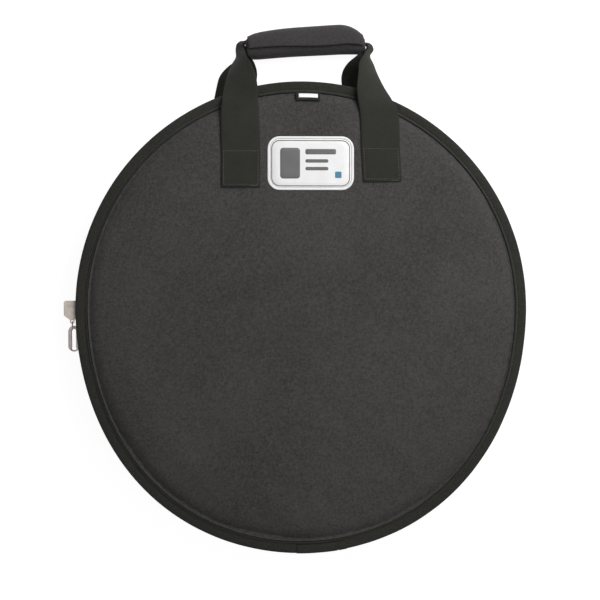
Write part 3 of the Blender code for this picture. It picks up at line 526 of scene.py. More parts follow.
INSIDE = ((0.010, 0.010, 0.011), (0.030, 0.030, 0.033), 0.0004)
TAPE_THREAD = 0.0008
panel_cloth = cloth(
    "panel_fabric", (0.0272, 0.0260, 0.0254), (0.0848, 0.0810, 0.0790), 0.0006, False, sheen=0.04, shine=0.15
)
wall_cloth = cloth("wall_fabric", (0.022, 0.021, 0.0207), (0.068, 0.0648, 0.0632), 0.0006, True)
lining_cloth = cloth("lining", *INSIDE, False, sheen=0.3, rough=0.6)
wall_lining_cloth = cloth("wall_lining", *INSIDE, True, sheen=0.3, rough=0.6)
tape_cloth = cloth(
    "binding_tape", (0.0117, 0.0117, 0.0098), (0.0350, 0.0350, 0.0298), TAPE_THREAD, True,
    depth=0.0002, sheen=0.06, shine=0.2,
)
# The rear tape is the front tape in darker colours: painted shade for the shadow that the front flange casts on it.
rear_tape_painted_shade = cloth(
    "rear_binding_tape", (0.004, 0.004, 0.0035), (0.013, 0.013, 0.011), TAPE_THREAD, True,
    depth=0.0002, sheen=0.02,
)
felt = cloth("divider_felt", (0.014, 0.014, 0.015), (0.045, 0.045, 0.048), 0.0009, False, sheen=0.4, rough=0.95)


# %% [markdown]
# Each panel is cloth over about 10 mm of foam. The cloth stays flat over the foam, rolls down at the
# edge as a quarter ellipse, and turns out flat into the seam. A cloth simulation could pull it over the
# foam, but its seam would leave the solids' edge. So the skin is a stack of rings: outlines at a list
# of insets and heights. The foam pushes the cloth up a little between its seams, and the stitches pull
# small puckers into the roll, so a relief that is a sum of slow waves is added.

# %% Panel profiles
SKIN_SEAM = 0.0095
SKIN = 0.0009
FOAM_DEPTH = 0.0107
SEAM_EDGE = 0.0020
ROLL = FLAT_INSET - ROLL_END
PANEL_TURNS = 640
SWELLS = ((0.16, 0.60), (0.05, 0.25))
PUCKER_COUNT = 96
PUCKER_HEIGHT = 0.00035
PUCKER_START = 0.009
PUCKER_REACH = 0.011
EDGE_SAG = 0.0064
SAG_REACH = 0.030
SAG_TURN = math.radians(75)
SAG_START = 0.0026
RIM_FALL, RIM_REACH = 0.30, 0.011
SEWN_RINGS = 60


def panel_profile():
    """Rings from the middle of the outer face, over the roll and the seam, to the middle of the under side.

    Each ring is (inset, depth under the outer face, share of the flat middle's outline).
    """
    shares = np.linspace(0.004, 1.0, 46) ** 0.8
    flat = [(FLAT_INSET + (RADIUS - FLAT_INSET) * (1 - share), 0.0, share) for share in shares]
    fall = np.linspace(0, math.pi / 2, 15)[1:]
    roll = [(FLAT_INSET - ROLL * math.sin(t), SKIN_SEAM * (1 - math.cos(t)), 1.0) for t in fall]
    seam = [(inset, SKIN_SEAM, 1.0) for inset in (0.0125, 0.008, 0.004)]
    edge = [(SEAM_EDGE, SKIN_SEAM + SKIN / 2, 1.0)]
    under = [(inset, SKIN_SEAM + SKIN, 1.0) for inset in (0.004, 0.008, ROLL_END)]
    foam = [(0.0165, FOAM_DEPTH, 1.0), (0.020, FOAM_DEPTH, 1.0), (0.028, FOAM_DEPTH, 1.0)]
    middle = [(FLAT_INSET, FOAM_DEPTH, share) for share in np.linspace(1.0, 0.004, 26)]
    return np.array(flat + roll + seam + edge + under + foam + middle)


def edge_bell(inset, reach):
    """1 at the foot of the roll, falling off as a bell within reach of it."""
    return np.exp(-(((inset - ROLL_END) / reach) ** 2))


def panel_points(front, seed, relief):
    """The panel's grid: outlines at the profile's insets and depths, with relief on the outer face.

    Relief is waves times their share, puckers near the edge, and a sag that is deepest at the edge.
    """
    profile = panel_profile()
    angle = turns(PANEL_TURNS)
    inset, depth, share = (profile[:, k][:, None] for k in range(3))
    grid = rim(angle[None, :], np.where(share < 1, FLAT_INSET, inset)) * share[..., None]
    outer = (depth < FOAM_DEPTH * 0.5) | (np.arange(len(profile))[:, None] < SEWN_RINGS)
    x, y = grid[..., 0], grid[..., 1]
    swell = sum(waves(x, y, seed + k, length) * part for k, (length, part) in enumerate(SWELLS))
    near_edge = edge_bell(inset, PUCKER_REACH) * (share > 0.999)
    pucker = np.sin(PUCKER_COUNT * angle + 1.5 * np.sin(7 * angle) + 2.0 * np.sin(3 * angle))[None, :]
    lift = (relief * swell * (1 - near_edge) + PUCKER_HEIGHT * pucker * near_edge) * outer
    lift = lift * ease(inset, PUCKER_START, ROLL_END)
    thinned = EDGE_SAG * (0.62 - 0.38 * np.cos(angle - SAG_TURN))
    thinned = thinned + 0.0004 * np.sin(9 * angle + seed) + 0.0003 * np.sin(17 * angle)
    fall = edge_bell(inset, SAG_REACH) + RIM_FALL * edge_bell(inset, RIM_REACH)
    sag = thinned[None, :] * fall * ease(inset, ROLL_END, ROLL_END + SAG_START)
    drop = depth - lift + sag * outer * (share > 0.2)
    grid[..., 2] = FRONT_FACE - drop if front else drop
    return grid


def disc_uv(grid):
    """A flat UV map in metres for rings of points."""
    flat = grid[..., :2]
    return np.concatenate([flat, flat[:, :1]], axis=1)


def panel_piece(name, grid, finish):
    """A closed panel from rings, with its two small middle rings capped."""
    return grid_piece(name, grid, disc_uv(grid), finish, close_cols=True, caps=True)


# %% [markdown]
# The front panel is one cloth that bends where the cover folds open. Two halves that meet on a line
# would gape or cut each other when they turn, so it is one piece, baked in place.

# %% Front panel, as one piece of cloth
FOLD_START = (0.0, FOLD_Y - 0.007, FRONT_FACE)
FOLD_END = (0.0, FOLD_Y + 0.024, FRONT_FACE)


def across_fold(piece):
    """Bakes the piece's place into its mesh; it is tied to no body and does not bend."""
    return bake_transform(piece)


front_panel = panel_piece("front_panel", panel_points(True, 11, 0.0009), panel_cloth)
across_fold(front_panel)
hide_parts("front_skin_upper", "front_skin_lower", "front_foam_upper", "front_foam_lower")
print("front panel:", len(front_panel.data.polygons), "faces")

# %% [markdown]
# The back panel is the same pad, turned over. The sewn ends of the rear straps lie flat on it and press
# into its foam. A boolean cut would leave a hard edge, so the points under the straps are lowered.

# %% Back panel, pressed in where the rear straps are sewn flat to it
PRESS = 0.0024
PRESS_CLEAR, PRESS_SIDE = 0.0008, 0.0050
PRESS_END = (-0.006, -0.001)


def pressed_in(grid):
    """Lowers the back face under each rear strap, with sides that rise again over a few millimetres."""
    x, y = grid[..., 0], grid[..., 1]
    for (base_x, base_y), (top_x, top_y) in SEWN.values():
        middle = base_x + REAR_SHIFT + (top_x - base_x) / (top_y - base_y) * (y - base_y)
        across = 1 - ease(np.abs(x - middle), WEB_WIDTH / 2 + PRESS_CLEAR, WEB_WIDTH / 2 + PRESS_SIDE)
        along = ease(y, base_y + PRESS_END[0], base_y + PRESS_END[1])
        near_face = grid[..., 2] < FOAM_DEPTH * 0.6
        grid[..., 2] = np.where(near_face, np.maximum(grid[..., 2], PRESS * across * along), grid[..., 2])
    return grid


back_panel = panel_piece("back_panel", pressed_in(panel_points(False, 23, 0.0)), panel_cloth)
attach(back_panel, FOOT)
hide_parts("back_skin", "back_foam")

# %% [markdown]
# Both seams are bound: a tape folded in half over the raw edges, stitched near its inner edges. A bevel
# on a curve would give a round cord, so the folded tape is a closed band of constant section. The
# thread pulls the tape in along the stitch line, and beyond it the tape's free edge stands up as the
# light ridge that the photograph shows. Two short laps cover the tape's ends at the bottom.

# %% Bindings
STITCH_INSET = 0.0118
SEAM_DEPTH = 0.0085
SEAM_TOTAL = 0.0041


def binding_section():
    """The folded tape as (inset, depth): outer leg, round fold, inner leg, and back along the inside."""
    fold = [
        (0.0070, SEAM_DEPTH - 0.0003), (0.0045, SEAM_DEPTH - 0.0003), (0.0022, SEAM_DEPTH - 0.0001),
        (0.0008, SEAM_DEPTH + 0.0005), (0.0001, SEAM_DEPTH + 0.0013),
    ]
    seen = [
        (0.0149, SEAM_DEPTH + 0.0002), (0.0149, SEAM_DEPTH - 0.0012), (0.0143, SEAM_DEPTH - 0.0018),
        (0.0133, SEAM_DEPTH - 0.0016), (0.0125, SEAM_DEPTH - 0.0003), (0.0118, SEAM_DEPTH + 0.0006),
        (0.0111, SEAM_DEPTH + 0.0001), (0.0100, SEAM_DEPTH - 0.0002),
    ]
    hidden = [
        (0.0131, SEAM_DEPTH + 0.0002), (0.0130, SEAM_DEPTH - 0.0013), (0.0123, SEAM_DEPTH - 0.0015),
        (0.0113, SEAM_DEPTH - 0.0007), (0.0106, SEAM_DEPTH + 0.0002), (0.0102, SEAM_DEPTH + 0.0006),
        (0.0098, SEAM_DEPTH + 0.0003), (0.0090, SEAM_DEPTH - 0.0001),
    ]
    centre = SEAM_DEPTH + SEAM_TOTAL / 2
    outer = seen + fold
    inner = [(inset, 2 * centre - depth) for inset, depth in (hidden + fold)[::-1]]
    hollow = [
        (0.0127, centre + 0.0016), (0.0104, centre + 0.0013), (0.0070, centre + 0.0016), (0.0030, centre + 0.0015),
        (0.0012, centre + 0.0008), (0.0012, centre - 0.0008), (0.0030, centre - 0.0015), (0.0070, centre - 0.0016),
        (0.0118, centre - 0.0012), (0.0145, centre - 0.0016),
    ]
    return np.array(outer + inner + hollow)


FLANGE = 0.013
QUICK_WAVE, SLOW_WAVE = 0.0006, 0.0005


def flange_warp(front):
    """Makes the flange wave a little, more at its free edge, as sewn tape does."""
    sign, seed = (1, 1.7) if front else (-1, 4.2)

    def warp(grid, angle, inset):
        free = ease(-inset, -FLANGE, 0.0)
        wave = ripple(angle, seed, (23, 1, 0.5), (37, 2, 0.3), (61, 1, 0.2))
        slow = ripple(angle, seed, (5, 1, 0.6), (9, 2.3, 0.4))
        grid[..., 2] += sign * free * (QUICK_WAVE * wave + SLOW_WAVE * slow)
        return grid
    return warp


BAND_TURNS = 900
LAP_RISE, LAP_SINK = 0.0008, 0.0003
LAPS = (("left", -91.5, -81.0), ("right", -80.72, -78.6))
section = binding_section()
front_tape = band_piece(
    "front_binding", on_front(section), tape_cloth, count=BAND_TURNS, warp=flange_warp(True)
)
across_fold(front_tape)
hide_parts("front_binding_upper", "front_binding_lower")
# The rear tape's darker finish is painted shade.
rear_tape = band_piece(
    "rear_binding_tape", section, rear_tape_painted_shade, count=BAND_TURNS, warp=flange_warp(False)
)
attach(rear_tape, FOOT)
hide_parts("rear_binding")
seen_leg = section[:13]
lap = np.vstack([seen_leg + (0, LAP_SINK), (seen_leg - (0, LAP_RISE))[::-1]])
lap[12:14, 0] -= 0.0004
for side, *ends in LAPS:
    first, last = np.radians(ends)
    tape_lap = band_piece("binding_lap_" + side, on_front(lap), tape_cloth, first, last, 60, flange_warp(True))
    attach(tape_lap, FOOT)


# %% [markdown]
# Webbing is woven so tightly that its weft shows as fine ribs straight across. Real ribs would need
# millions of faces, so a group of nodes draws them as a bump. It reads the UV map, because the ribs
# follow the strap round its twists.

# %% Finishes: webbing, zip tape and label
RIB = 0.0011
RIB_WANDER = 0.0007


def make_ribs():
    """Fine ribs across a strap. Height is a rounded wave along the first UV axis, uneven along the second."""
    group, given, result = new_group(
        "webbing_ribs",
        [("Place", "Vector"), ("Rib", "Float")],
        [("Height", "Float"), ("Grain", "Float")],
    )
    split = node(group, "ShaderNodeSeparateXYZ", {0: given["Place"]}).outputs
    wander = noise(group, given["Place"], 160.0, 1.0)
    moved = maths(group, "MULTIPLY_ADD", wander, RIB_WANDER, split[0])
    rib, warp = (
        maths(group, "SINE", maths(group, "MULTIPLY", maths(group, "DIVIDE", at, given["Rib"]), pace))
        for at, pace in ((moved, math.tau), (split[1], math.tau * 0.8))
    )
    height = maths(group, "MULTIPLY_ADD", rib, 0.35, maths(group, "MULTIPLY_ADD", warp, 0.12, 0.5))
    link(group, height, result["Height"])
    drawn = drawn_out(group, given["Place"], (1.0, 0.15, 1.0))
    link(group, noise(group, drawn, 900.0, 2.0), result["Grain"])
    return group


ribs = make_ribs()


def ribbed(name, dark, light, rib=RIB, depth=0.0003, rough=0.78):
    """Ribbed webbing or tape, lighter on the backs of its ribs and in slow patches."""
    soft = {"Sheen_Weight": 0.06, "Sheen_Roughness": 0.4, "Specular_IOR_Level": 0.25}
    finish, tree, sockets = new_finish(name, rough, **soft)
    coordinates = node(tree, "ShaderNodeTexCoord").outputs
    lines = node(tree, "ShaderNodeGroup", node_tree=ribs)
    link(tree, coordinates["UV"], lines.inputs["Place"])
    lines.inputs["Rib"].default_value = rib
    slow = noise(tree, coordinates["Object"], 30.0, 3.0)
    shade = maths(tree, "MULTIPLY_ADD", slow, 0.45, maths(tree, "MULTIPLY", lines.outputs["Grain"], 0.4))
    # Lighter on the ribs' backs and darker between them: painted shade.
    shade = maths(tree, "MULTIPLY_ADD", lines.outputs["Height"], 0.3, shade)
    link(tree, mixed(tree, stretched(tree, shade, 0.35, 0.85), dark, light), sockets["Base Color"])
    link(tree, bumped(tree, lines.outputs["Height"], depth), sockets["Normal"])
    return finish


BLACK = (0.006, 0.006, 0.006)
webbing = ribbed("webbing", (0.009, 0.0093, 0.0070), (0.029, 0.030, 0.0235))
zip_cloth = ribbed("zip_tape", BLACK, (0.020, 0.020, 0.020), 0.0008, depth=0.00015)
tag_cloth = ribbed("label_tag", BLACK, (0.018, 0.018, 0.018), 0.0005, depth=0.0001)


# %% [markdown]
# Thread, coil, pile, metal and print are small things of one colour. A flat colour would look like
# plastic film, so one plain finish gives each of them slow patches and, where it has one, a fine bump.

# %% Finishes: thread, coil, pile, metal and the grip's cloth
def plain(name, colour, roughness, patch=60.0, spread=0.25, metallic=0.0, depth=0.0, **sockets):
    """A finish with slow patches of a little lighter and darker colour, and an optional fine bump."""
    finish, tree, values = new_finish(name, roughness, Metallic=metallic, **sockets)
    place = node(tree, "ShaderNodeTexCoord").outputs["Object"]
    slow = noise(tree, place, patch, 4.0)
    dark = tuple(c * (1 - spread) for c in colour)
    light = tuple(min(1.0, c * (1 + spread)) for c in colour)
    link(tree, mixed(tree, stretched(tree, slow, 0.3, 0.7), dark, light), values["Base Color"])
    if depth:
        link(tree, bumped(tree, noise(tree, place, patch * 12, 3.0), depth), values["Normal"])
    return finish


thread = plain("thread", (0.055, 0.055, 0.048), 0.5, patch=400.0, spread=0.4, depth=0.0001)
coil = plain("zip_coil", (0.012, 0.012, 0.013), 0.38, patch=300.0, spread=0.3, Specular_IOR_Level=0.5)
pile = plain("hook_and_loop", (0.012, 0.012, 0.012), 0.95, patch=500.0, spread=0.6, depth=0.0005)
cast = {"metallic": 1.0, "depth": 0.00003}
zip_metal = plain("zip_metal", (0.46, 0.41, 0.37), 0.36, patch=220.0, spread=0.14, **cast)
puller_metal = plain("puller_metal", (0.34, 0.296, 0.277), 0.4, patch=200.0, spread=0.12, **cast)
grip_cloth = cloth("grip_fabric", (0.0182, 0.0166, 0.0170), (0.050, 0.0456, 0.0468), 0.0006, True)


# %% [markdown]
# Both handles are loops of 2 inch webbing: sewn flat to the panel, they leave it near the seam, twist
# on edge and run through the padded grip. A simulated strap wouldn't stop where the photograph shows
# it, so a ribbon of constant section is carried through a few stations, each with a middle, a width
# and the direction of that width, on one smooth curve.


# %% Ribbons
def smooth_through(values, count=420):
    """Smooth curves through rows of values: cubics between rows, with slopes from the rows beside them.

    The curve's parameter grows by the root of the distance between the first three columns.
    """
    steps = np.linalg.norm(np.diff(values[:, :3], axis=0), axis=1) ** 0.5
    knots = np.concatenate([[0], np.cumsum(steps)])
    slope = np.gradient(values, knots, axis=0)
    at = np.linspace(0, knots[-1], count)
    k = np.clip(np.searchsorted(knots, at, side="right") - 1, 0, len(knots) - 2)
    width = (knots[k + 1] - knots[k])[:, None]
    t = ((at - knots[k])[:, None]) / width
    first = values[k] * (2 * t**3 - 3 * t**2 + 1) + slope[k] * width * (t**3 - 2 * t**2 + t)
    return first + values[k + 1] * (3 * t**2 - 2 * t**3) + slope[k + 1] * width * (t**3 - t**2)


def ribbon_section(count=26):
    """A flat strap's section as (share of half width, share of half thickness), with round edges."""
    s = np.cos(np.linspace(0, math.pi, count // 2))
    top = np.stack([s, (1 - np.abs(s) ** 16) ** 0.5 * 0.94 + 0.06], axis=1)
    return np.vstack([top, top[::-1] * (1, -1)])


def ribbon_grid(line, section):
    """Points of a strap through rows of (middle, width, across, curl): the section turned to each place.

    Curl bows the middle of the strap out along its normal, as webbing does where it is squeezed.
    """
    middle, width, across, curl = line[:, :3], line[:, 3], unit(line[:, 4:7]), line[:, 7]
    along = unit(np.gradient(middle, axis=0))
    normal = unit(np.cross(across, along))
    s, t = section[:, 0], section[:, 1]
    side = (width / 2)[:, None] * s[None, :]
    rise = WEB / 2 * t[None, :] + curl[:, None] * (1 - s[None, :] ** 2)
    return middle[:, None] + side[..., None] * across[:, None] + rise[..., None] * normal[:, None]


def ribbon_piece(name, line, finish):
    """A closed strap with its UV map along and across it in metres."""
    section = ribbon_section()
    across = np.concatenate([section[:, 0], section[:1, 0]]) * WEB_WIDTH / 2
    uv = uv_grid(lengths(line[:, :3]), across)
    return grid_piece(name, ribbon_grid(line, section), uv, finish, close_cols=True, caps=True)


# %% Routes of the two handles, by the solids and the photograph
GRIP_MIDDLE = np.array((0.006, 0.350, 0.0168))
GRIP_LENGTH = 0.157
GRIP_TILT = math.radians(3.5)
GRIP_ALONG = np.array((math.cos(GRIP_TILT), math.sin(GRIP_TILT), 0))
GRIP_UP = np.array((-math.sin(GRIP_TILT), math.cos(GRIP_TILT), 0))
GRIP_OUT = np.array((0.0, 0.0, 1.0))
STACK = 0.0024
BEND = 0.0065
CORE_WIDTH = 0.018
LOOP_LEAN = 30.0

# The tables give each leg's stations from the sewn end to the grip, by whether the leg is the right
# one: place, nearness to the grip, drop below the front face or lift off the back one, share of the
# full width, and twist in degrees.
END_SINK = {False: -0.0040, True: 0.0072}
LEG_X = {
    False: (-0.0824, -0.0822, -0.0806, -0.0796, -0.0792, -0.0788),
    True: (0.0992, 0.0950, 0.0896, 0.0868, 0.0856, 0.0872),
}
LEG_Y = {
    False: (0.2560, 0.2680, 0.2885, 0.3050, 0.3190, 0.3300),
    True: (0.2560, 0.2700, 0.2885, 0.3070, 0.3220, 0.3325),
}
NEARNESS = (0.0, 0.03, 0.18, 0.39, 0.68, 1.0)
FRONT_DROP = {
    False: (0.0002, 0.0014, 0.0072, 0.0150, 0.0245, 0.0345),
    True: (0.0002, 0.0024, 0.0094, 0.0180, 0.0268, 0.0345),
}
FRONT_SHARE = {False: (0.97, 0.93, 0.89, 0.84, 0.76, 0.62), True: (0.98, 0.92, 0.86, 0.80, 0.74, 0.60)}
FRONT_TWIST = {False: (1, 5, 21, 34, 52, 68), True: (1, 9, 29, 46, 56, 70)}
REAR_LIFT = (0.0, 0.0, 0.0021, 0.0060, 0.0126, 0.0142)
REAR_SHARE = (1.0, 1.0, 1.0, 0.98, 0.80, 0.58)
REAR_TWIST = (0, 0, 0, 8, 34, 66)
REAR_SPREAD = 2.7
REAR_Z = 0.0011
CURL = 0.0022
INSIDE_GRIP = (-0.052, 0.0, 0.048)


def leg_rows(right, rear):
    """Stations of one leg, from its sewn base to the middle of the grip's end."""
    sign = -1 if right else 1
    z = REAR_Z if rear else FRONT_FACE + GAP + WEB / 2
    shift = REAR_SHIFT if rear else 0.0
    (base_x, base_y), (top_x, top_y) = SEWN[right]
    rows = []
    for share in (0.0, 0.5, 1.0):
        x = base_x + (top_x - base_x) * share + shift
        rows.append((x, base_y + (top_y - base_y) * share, z, WEB_WIDTH, 1, 0, 0, 0))
    shares = REAR_SHARE if rear else FRONT_SHARE[right]
    twists = REAR_TWIST if rear else FRONT_TWIST[right]
    moves = REAR_LIFT if rear else tuple(-drop for drop in FRONT_DROP[right])
    for x, y, near, move, share, twist in zip(LEG_X[right], LEG_Y[right], NEARNESS, moves, shares, twists):
        x += REAR_SHIFT * (1 - near) + sign * STACK * near * REAR_SPREAD if rear else 0.0
        turn = math.radians(twist)
        curl = CURL * math.sin(math.pi * min(1, (1 - share) * 2))
        rows.append((x, y, z + move, WEB_WIDTH * share, math.cos(turn), 0, sign * math.sin(turn), curl))
    up = -STACK / 2 if rear else STACK / 2
    for turn in np.linspace(0, math.pi / 2, 5):
        beyond = GAP + (BEND + up) * math.cos(turn)
        along = (GRIP_LENGTH / 2 + beyond) * (1 if right else -1)
        rise = (BEND + up) * math.sin(turn) - BEND - END_SINK[right]
        point = GRIP_MIDDLE + GRIP_ALONG * along + GRIP_UP * rise
        lean = math.radians(LOOP_LEAN) * math.cos(turn)
        facing = sign * GRIP_ALONG * math.cos(turn) - GRIP_UP * math.sin(turn)
        across = sign * facing * math.sin(lean) + sign * GRIP_OUT * math.cos(lean)
        rows.append((*point, CORE_WIDTH, *across, 0))
    return np.array(rows, float)


def handle_rows(rear):
    """Both legs of one handle as one route, from the left base to the right one."""
    right = leg_rows(True, rear)[::-1]
    right[:, 4:7] *= -1
    up = -STACK / 2 if rear else STACK / 2
    inside = [
        (*(GRIP_MIDDLE + GRIP_ALONG * along + GRIP_UP * up), CORE_WIDTH, 0, 0, 1, 0) for along in INSIDE_GRIP
    ]
    return np.vstack([leg_rows(False, rear), np.array(inside), right])


for face, body, z in (("front", "cover", FRONT_FACE), ("rear", FOOT, 0.001)):
    route = smooth_through(handle_rows(face == "rear"))
    piece = ribbon_piece(face + "_handle_webbing", route, webbing)
    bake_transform(piece)
    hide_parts(face + "_strap_anchor_left", face + "_strap_anchor_right", face + "_handle_strap")


# %% [markdown]
# Thread shows on the tape, the webbing and the zip strips as rows of short raised stitches. An array
# modifier on a curve would twist them, so each stitch is a small closed grain that dips into the cloth
# at both ends, and all grains of a row are one mesh, placed along the row's directions in one step.

# %% Helper that sews rows of stitches
STITCH = 0.0026
STITCH_PITCH = 0.0036
THREAD = 0.00038


def grain_points():
    """One stitch along +X: rings whose radius falls off as a circle, sinking at both ends."""
    at = np.array((-1.0, -0.82, -0.4, 0.4, 0.82, 1.0))
    radius = np.array((0.25, 0.75, 1.0, 1.0, 0.75, 0.25))
    turn = turns(6)
    x = at[:, None] * STITCH / 2 + 0 * turn[None, :]
    y = radius[:, None] * np.cos(turn)[None, :] * THREAD
    z = radius[:, None] * np.sin(turn)[None, :] * THREAD - (at[:, None] ** 4) * THREAD * 1.3
    return np.stack([x, y, z], axis=-1)


def sew(name, middles, along, up):
    """A mesh of stitches at the given middles, each lying along a direction with its back to up."""
    along = unit(along)
    side = unit(np.cross(up, along))
    frames = np.stack([along, side, np.cross(along, side)], axis=1)
    return repeated(name, grain_points(), frames, middles, thread)


def stitch_line(points, pitch=STITCH_PITCH, closed=False):
    """Middles and directions of stitches at an even pitch along a line of points."""
    line = np.vstack([points, points[:1]]) if closed else points
    at = lengths(points, closed)
    count = max(int(at[-1] / pitch), 1)
    stops = (np.arange(count) + 0.5) * at[-1] / count
    ahead, behind = spots_on(line, at, stops + pitch / 4), spots_on(line, at, stops - pitch / 4)
    return spots_on(line, at, stops), unit(ahead - behind)


# %% [markdown]
# The row in the groove of each binding goes all the way round. It could be drawn as a bump, but the
# stitches are seen from close by and from the side, so they are sewn as pieces of thread.

# %% Stitches of the two bindings
SEW_TURNS = 1800
GROOVE_DEPTH = SEAM_DEPTH + 0.00035


def binding_stitches(name, front):
    """A row of stitches in the groove of a binding, waved with its flange."""
    angle = turns(SEW_TURNS)
    line = rim(angle, STITCH_INSET)
    line[:, 2] = FRONT_FACE - GROOVE_DEPTH if front else GROOVE_DEPTH
    line = flange_warp(front)(line[:, None], angle[:, None], np.full((1, 1), STITCH_INSET))[:, 0]
    middles, along = stitch_line(line, closed=True)
    print(name, "in pieces of thread:", len(middles))
    return sew(name, middles, along, np.broadcast_to((0.0, 0.0, 1.0 if front else -1.0), middles.shape))


front_row = across_fold(binding_stitches("front_binding_stitches", True))
rear_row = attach(binding_stitches("rear_binding_stitches", False), FOOT)


# %% [markdown]
# The padded grip is a pad of the bag's cloth wrapped round both straps and closed over itself. The
# wrap is a tube: its outer face is a superellipse whose size changes along the grip, its ends turn in,
# and its inner face is the slot that the straps run through. A short cloth simulation with a little
# pressure then swells the pad between its ends and gives it the uneven fullness of real padding.

# %% Grip: the wrapped pad
GRIP_HEIGHT = 0.037
GRIP_DEPTH = 0.033
GRIP_POWER = 0.72
SLOT_HEIGHT = 0.0086
SLOT_DEPTH = 0.0222
SHARES = (0.0, 0.05, 0.14, 0.30, 0.72, 0.84, 0.92, 0.97, 1.0)
HEIGHTS = (0.66, 0.86, 0.92, 0.95, 1.0, 0.995, 0.88, 0.72, 0.50)
DEPTHS = (0.86, 0.93, 0.97, 1.0, 1.0, 1.0, 0.98, 0.93, 0.86)
LEFT_SINK, LEFT_REACH = 0.0048, 0.45
RIGHT_SINK, RIGHT_REACH = 0.0095, 0.22


def signed_power(value, power):
    """A power that keeps the sign."""
    return np.sign(value) * np.abs(value) ** power


def grip_sink(share):
    """How far the two ends of the pad hang below its straight middle: a square from each end inwards."""
    left = np.clip(1 - share / LEFT_REACH, 0, 1)
    right = np.clip((share - (1 - RIGHT_REACH)) / RIGHT_REACH, 0, 1)
    return LEFT_SINK * left**2 + RIGHT_SINK * right**2


def grip_points(share, turn, height, depth, power=GRIP_POWER):
    """Points of the grip: along it by a share of its length, and round a superellipse by a turn."""
    up = signed_power(np.cos(turn), power) * height
    out = signed_power(np.sin(turn), power) * depth
    place = GRIP_MIDDLE + (share - 0.5)[..., None] * GRIP_LENGTH * GRIP_ALONG
    return place + (up - grip_sink(share))[..., None] * GRIP_UP + out[..., None] * GRIP_OUT


def grip_size(share):
    """Half height and half depth of the grip at shares of its length: the tables, as a running mean."""
    at = np.linspace(0, 1, 201)
    sizes = []
    for table, full in ((HEIGHTS, GRIP_HEIGHT), (DEPTHS, GRIP_DEPTH)):
        padded = np.pad(np.interp(at, SHARES, table), 8, mode="edge")
        sizes.append(np.interp(share, at, np.convolve(padded, np.ones(17) / 17, "valid")) * full / 2)
    return sizes


GRIP_TURNS = 56
GRIP_ROWS = 54
GRIP_END = 0.012
END_RINGS = ((0.997, 0.88), (1.0, 0.72), (1.0, 0.58))
SLOT_RINGS = (0.985, 0.93, 0.75, 0.5, 0.25, 0.07, 0.015)
SLOT_POWER = 0.5


def grip_tube():
    """Rows along the outside, round the right end, back through the slot and round the left end."""
    turn = turns(GRIP_TURNS) + math.pi

    def ring(share, height, depth, power=GRIP_POWER):
        return grip_points(np.full(GRIP_TURNS, share), turn, height, depth, power)

    share = np.linspace(GRIP_END, 1 - GRIP_END, GRIP_ROWS)
    tall, deep = grip_size(share)
    rows = [ring(*values) for values in zip(share, tall, deep)]
    ends = []
    for s, part in END_RINGS:
        h = SLOT_HEIGHT / 2 + (tall[-1] - SLOT_HEIGHT / 2) * part
        d = SLOT_DEPTH / 2 + (deep[-1] - SLOT_DEPTH / 2) * part
        ends.append((s, h, d))
    right = [ring(s, h, d) for s, h, d in ends]
    left = [ring(1 - s, h, d) for s, h, d in ends[::-1]]
    slot = [ring(s, SLOT_HEIGHT / 2, SLOT_DEPTH / 2, SLOT_POWER) for s in SLOT_RINGS]
    return np.stack(rows + right + slot + left)


SWELL_CAP = 0.0016
SWELL_FRAMES = 20
SWELL_PRESSURE = 12.0


def swell(piece, pinned):
    """Puffs a closed mesh with Cloth, keeps pinned points, and holds every point near its start."""
    before = np.empty(len(piece.data.vertices) * 3, np.float32)
    piece.data.vertices.foreach_get("co", before)
    before = before.reshape(-1, 3)
    hold = piece.vertex_groups.new(name="sewn")
    hold.add([int(k) for k in np.flatnonzero(pinned)], 1.0, "REPLACE")
    step = piece.modifiers.new("swell", "CLOTH")
    step.settings.use_pressure = True
    step.settings.uniform_pressure_force = SWELL_PRESSURE
    step.settings.effector_weights.gravity = 0.0
    step.settings.vertex_group_mass = "sewn"
    step.settings.quality = 6
    step.settings.tension_stiffness = 30
    step.settings.bending_stiffness = 2
    scene = bpy.context.scene
    scene.frame_start, scene.frame_end = 1, SWELL_FRAMES
    step.point_cache.frame_start, step.point_cache.frame_end = 1, SWELL_FRAMES
    for frame_number in range(1, SWELL_FRAMES + 1):
        scene.frame_set(frame_number)
    shown = piece.evaluated_get(bpy.context.evaluated_depsgraph_get())
    after = np.empty_like(before).ravel()
    shown.data.vertices.foreach_get("co", after)
    piece.modifiers.remove(step)
    piece.vertex_groups.remove(hold)
    scene.frame_set(1)
    move = after.reshape(-1, 3) - before
    size = np.linalg.norm(move, axis=1, keepdims=True)
    held = move * (SWELL_CAP * np.tanh(size / SWELL_CAP) / np.maximum(size, 1e-9))
    piece.data.vertices.foreach_set("co", (before + held).astype(np.float32).ravel())
    piece.data.update()


def apply_last(piece, step):
    """Bakes a modifier into the piece's mesh."""
    finished = bpy.data.meshes.new_from_object(piece.evaluated_get(bpy.context.evaluated_depsgraph_get()))
    piece.modifiers.remove(step)
    old = piece.data
    piece.data = finished
    bpy.data.meshes.remove(old)
    return finished


tube = grip_tube()
tube_uv = uv_grid(lengths(tube[:, 0], closed=True), lengths(tube[GRIP_ROWS // 2], closed=True))
grip_pad = grid_piece("grip_pad", tube, tube_uv, grip_cloth, close_rows=True, close_cols=True)
row_of = np.repeat(np.arange(len(tube)), GRIP_TURNS)
swell(grip_pad, row_of >= GRIP_ROWS)
finer = grip_pad.modifiers.new("finer", "SUBSURF")
finer.levels = finer.render_levels = 1
finer.uv_smooth = "PRESERVE_BOUNDARIES"
apply_last(grip_pad, finer)
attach(grip_pad, "front_handle")
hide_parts("grip_shell", "grip_foam")
